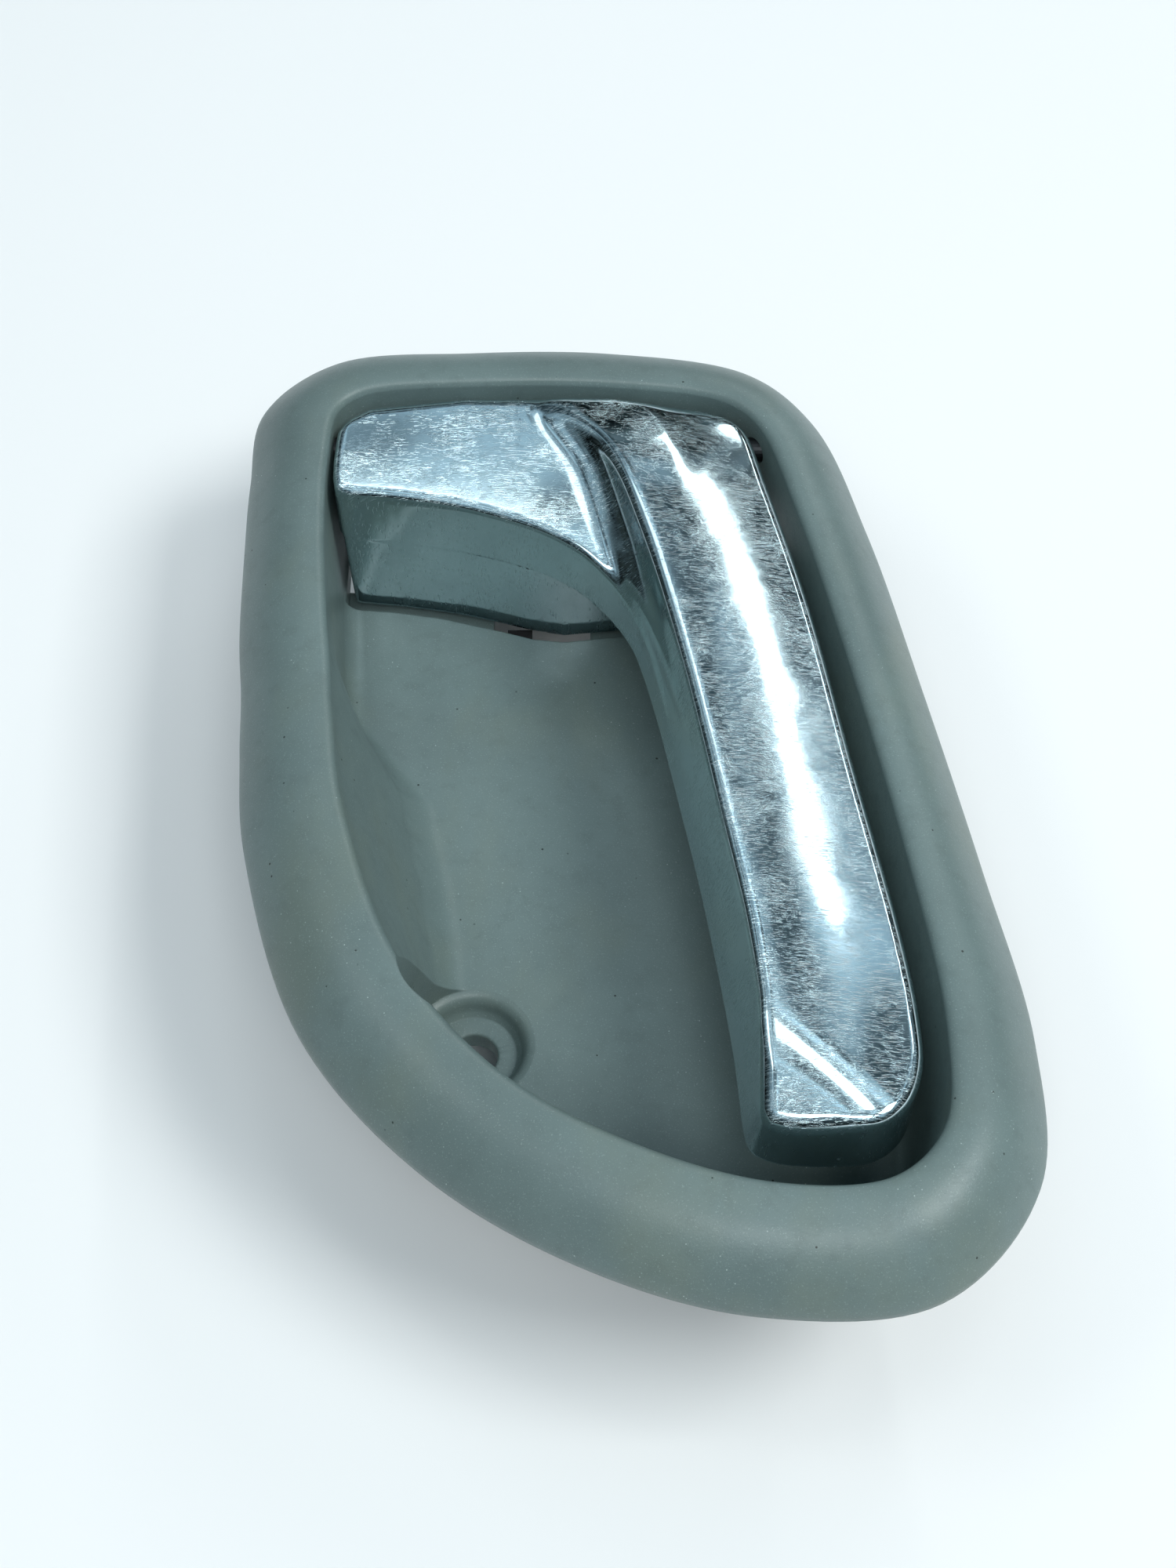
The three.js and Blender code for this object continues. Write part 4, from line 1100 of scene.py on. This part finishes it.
class HANDLE_OT_pads(bpy.types.Operator):
    """Two foam pads glued behind the floor of the cup"""

    bl_idname = "handle.pads"
    bl_label = "Foam pads"

    def execute(self, context):
        mat = foam()
        for name in ("upper", "lower"):
            ob = build_pad("foam_pad_" + name, name + "_foam")
            give(ob, mat)
            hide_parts("foam_pad_" + name)
            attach(ob, "housing")
        return {"FINISHED"}


class HANDLE_OT_stage(bpy.types.Operator):
    """Pale floor, soft lights and the camera"""

    bl_idname = "handle.stage"
    bl_label = "Studio"

    def execute(self, context):
        sizes = context.scene.handle_studio
        low = CAD_BOX[0][2] - 0.0002
        bm = bmesh.new()
        bmesh.ops.create_grid(bm, x_segments=8, y_segments=8, size=sizes.floor / 2)
        bmesh.ops.translate(bm, vec=(0, 0, low), verts=bm.verts)
        floor = to_object(bm, "studio_floor")
        m = Recipe("pale floor")
        cloud = m.ramp(m.noise(3, 2, 0.5), (0.3, 0), (0.7, 1))
        tone = m.mix(cloud, (0.90, 0.875, 0.87, 1), (0.885, 0.86, 0.855, 1))
        m.set(Base_Color=tone, Roughness=0.9)
        give(floor, m.mat)
        self.lights(context)
        self.camera(context, sizes)
        return {"FINISHED"}

    def lights(self, context):
        # name, one end of its middle line, the other end, width, power, colour
        table = [
            ("tube", (0.20, 1.25, 0.50), (0.58, 0.66, 0.97), 0.04, 1.4, (0.94, 1.0, 1.0)),
            ("thin tube", (0.50, 1.20, 0.45), (0.95, 0.55, 0.90), 0.02, 0.9, (0.94, 1.0, 1.0)),
            ("back panel", (-0.60, 0.80, 0.96), (-0.02, 0.72, 1.02), 0.16, 0.42, (0.93, 1.0, 1.0)),
            ("tip panel", (0.05, 0.15, 1.2), (0.28, 0.02, 1.2), 0.14, 0.60, (0.93, 1.0, 1.0)),
            ("right window", (0.90, -0.6, 1.25), (0.90, 0.1, 1.25), 0.5, 13.0, (0.94, 1.0, 0.99)),
            ("front window", (-0.4, -0.95, 1.4), (0.5, -0.95, 1.4), 0.4, 9.5, (0.95, 1.0, 1.0)),
            ("left window", (-0.95, -0.3, 1.3), (-0.95, 0.4, 1.3), 0.3, 2.2, (0.95, 1.0, 0.98)),
        ]
        for name, start, end, width, power, colour in table:
            data = bpy.data.lights.new(name, "AREA")
            data.shape = "RECTANGLE"
            start, end = Vector(start), Vector(end)
            data.size = width
            data.size_y = (end - start).length
            data.energy = power
            data.color = colour
            ob = bpy.data.objects.new(name, data)
            middle = (start + end) / 2
            along = (end - start).normalized()
            back = (middle - along * middle.dot(along)).normalized()
            side = along.cross(back)
            turn = Matrix((side, along, back)).transposed()
            ob.matrix_world = Matrix.Translation(middle) @ turn.to_4x4()
            context.scene.collection.objects.link(ob)
        self.room(context)

    def room(self, context):
        """Dim room with a bright ceiling, and a pale backdrop behind the floor."""
        world = bpy.data.worlds.new("studio")
        world.use_nodes = True
        tree = world.node_tree
        tree.nodes.clear()
        out = tree.nodes.new("ShaderNodeOutputWorld")
        coords = tree.nodes.new("ShaderNodeTexCoord")
        split = tree.nodes.new("ShaderNodeSeparateXYZ")
        tree.links.new(coords.outputs["Generated"], split.inputs[0])
        ramp = tree.nodes.new("ShaderNodeValToRGB")
        tree.links.new(split.outputs["Z"], ramp.inputs[0])
        stops = ramp.color_ramp.elements
        stops[0].position = 0.22
        stops[0].color = (0.015, 0.02, 0.02, 1)
        stops[1].position = 1.0
        stops[1].color = (0.40, 0.54, 0.62, 1)
        for place, colour in ((0.42, (0.08, 0.11, 0.125, 1)), (0.7, (0.23, 0.32, 0.38, 1))):
            stops.new(place).color = colour
        room = tree.nodes.new("ShaderNodeBackground")
        cloud = tree.nodes.new("ShaderNodeTexNoise")
        cloud.inputs["Scale"].default_value = 6.5
        cloud.inputs["Detail"].default_value = 1.5
        tree.links.new(coords.outputs["Generated"], cloud.inputs["Vector"])
        spread = tree.nodes.new("ShaderNodeMapRange")
        tree.links.new(cloud.outputs["Fac"], spread.inputs[0])
        for k, v in enumerate((0.40, 0.62, 0.22, 1.9)):
            spread.inputs[k + 1].default_value = v
        tree.links.new(ramp.outputs[0], room.inputs["Color"])
        tree.links.new(spread.outputs[0], room.inputs["Strength"])
        backdrop = tree.nodes.new("ShaderNodeBackground")
        backdrop.inputs["Color"].default_value = (0.80, 0.82, 0.82, 1)
        path = tree.nodes.new("ShaderNodeLightPath")
        pick = tree.nodes.new("ShaderNodeMixShader")
        tree.links.new(path.outputs["Is Camera Ray"], pick.inputs[0])
        tree.links.new(room.outputs[0], pick.inputs[1])
        tree.links.new(backdrop.outputs[0], pick.inputs[2])
        tree.links.new(pick.outputs[0], out.inputs[0])
        context.scene.world = world

    def camera(self, context, sizes):
        data = bpy.data.cameras.new("camera")
        data.lens = sizes.focal
        data.sensor_width = 36
        data.sensor_fit = "AUTO"
        data.clip_start = 0.01
        cam = bpy.data.objects.new("camera", data)
        e = sizes.elevation
        target = Vector(VIEW_CENTRE)
        cam.location = target + Vector((0, -math.cos(e), math.sin(e))) * sizes.distance
        cam.rotation_euler = (math.pi / 2 - e, 0, 0)
        context.scene.collection.objects.link(cam)
        context.scene.camera = cam
        context.scene.view_settings.view_transform = "Standard"


class HANDLE_PT_panel(bpy.types.Panel):
    """Builds and finishes of the handle"""

    bl_idname = "HANDLE_PT_panel"
    bl_label = "Door release handle"
    bl_space_type = "VIEW_3D"
    bl_region_type = "UI"
    bl_category = "Handle"

    def draw(self, context):
        finish = context.scene.handle_finish
        studio = context.scene.handle_studio
        for name in ("grey", "chrome", "chrome_roughness", "grain"):
            self.layout.prop(finish, name)
        for name in ("distance", "elevation", "focal", "floor"):
            self.layout.prop(studio, name)
        for op in OPERATORS:
            self.layout.operator(op.bl_idname)


OPERATORS = [HANDLE_OT_bezel, HANDLE_OT_lever, HANDLE_OT_works, HANDLE_OT_pads, HANDLE_OT_stage]
GROUPS = [HandleFinish, StudioSizes]


def register():
    for c in GROUPS + OPERATORS + [HANDLE_PT_panel]:
        bpy.utils.register_class(c)
    bpy.types.Scene.handle_finish = bpy.props.PointerProperty(type=HandleFinish)
    bpy.types.Scene.handle_studio = bpy.props.PointerProperty(type=StudioSizes)


def unregister():
    del bpy.types.Scene.handle_finish
    del bpy.types.Scene.handle_studio
    for c in reversed(GROUPS + OPERATORS + [HANDLE_PT_panel]):
        bpy.utils.unregister_class(c)


def main():
    register()
    bpy.ops.handle.stage()
    bpy.ops.handle.bezel()
    bpy.ops.handle.lever()
    bpy.ops.handle.works()
    bpy.ops.handle.pads()


if __name__ == "__main__":
    main()
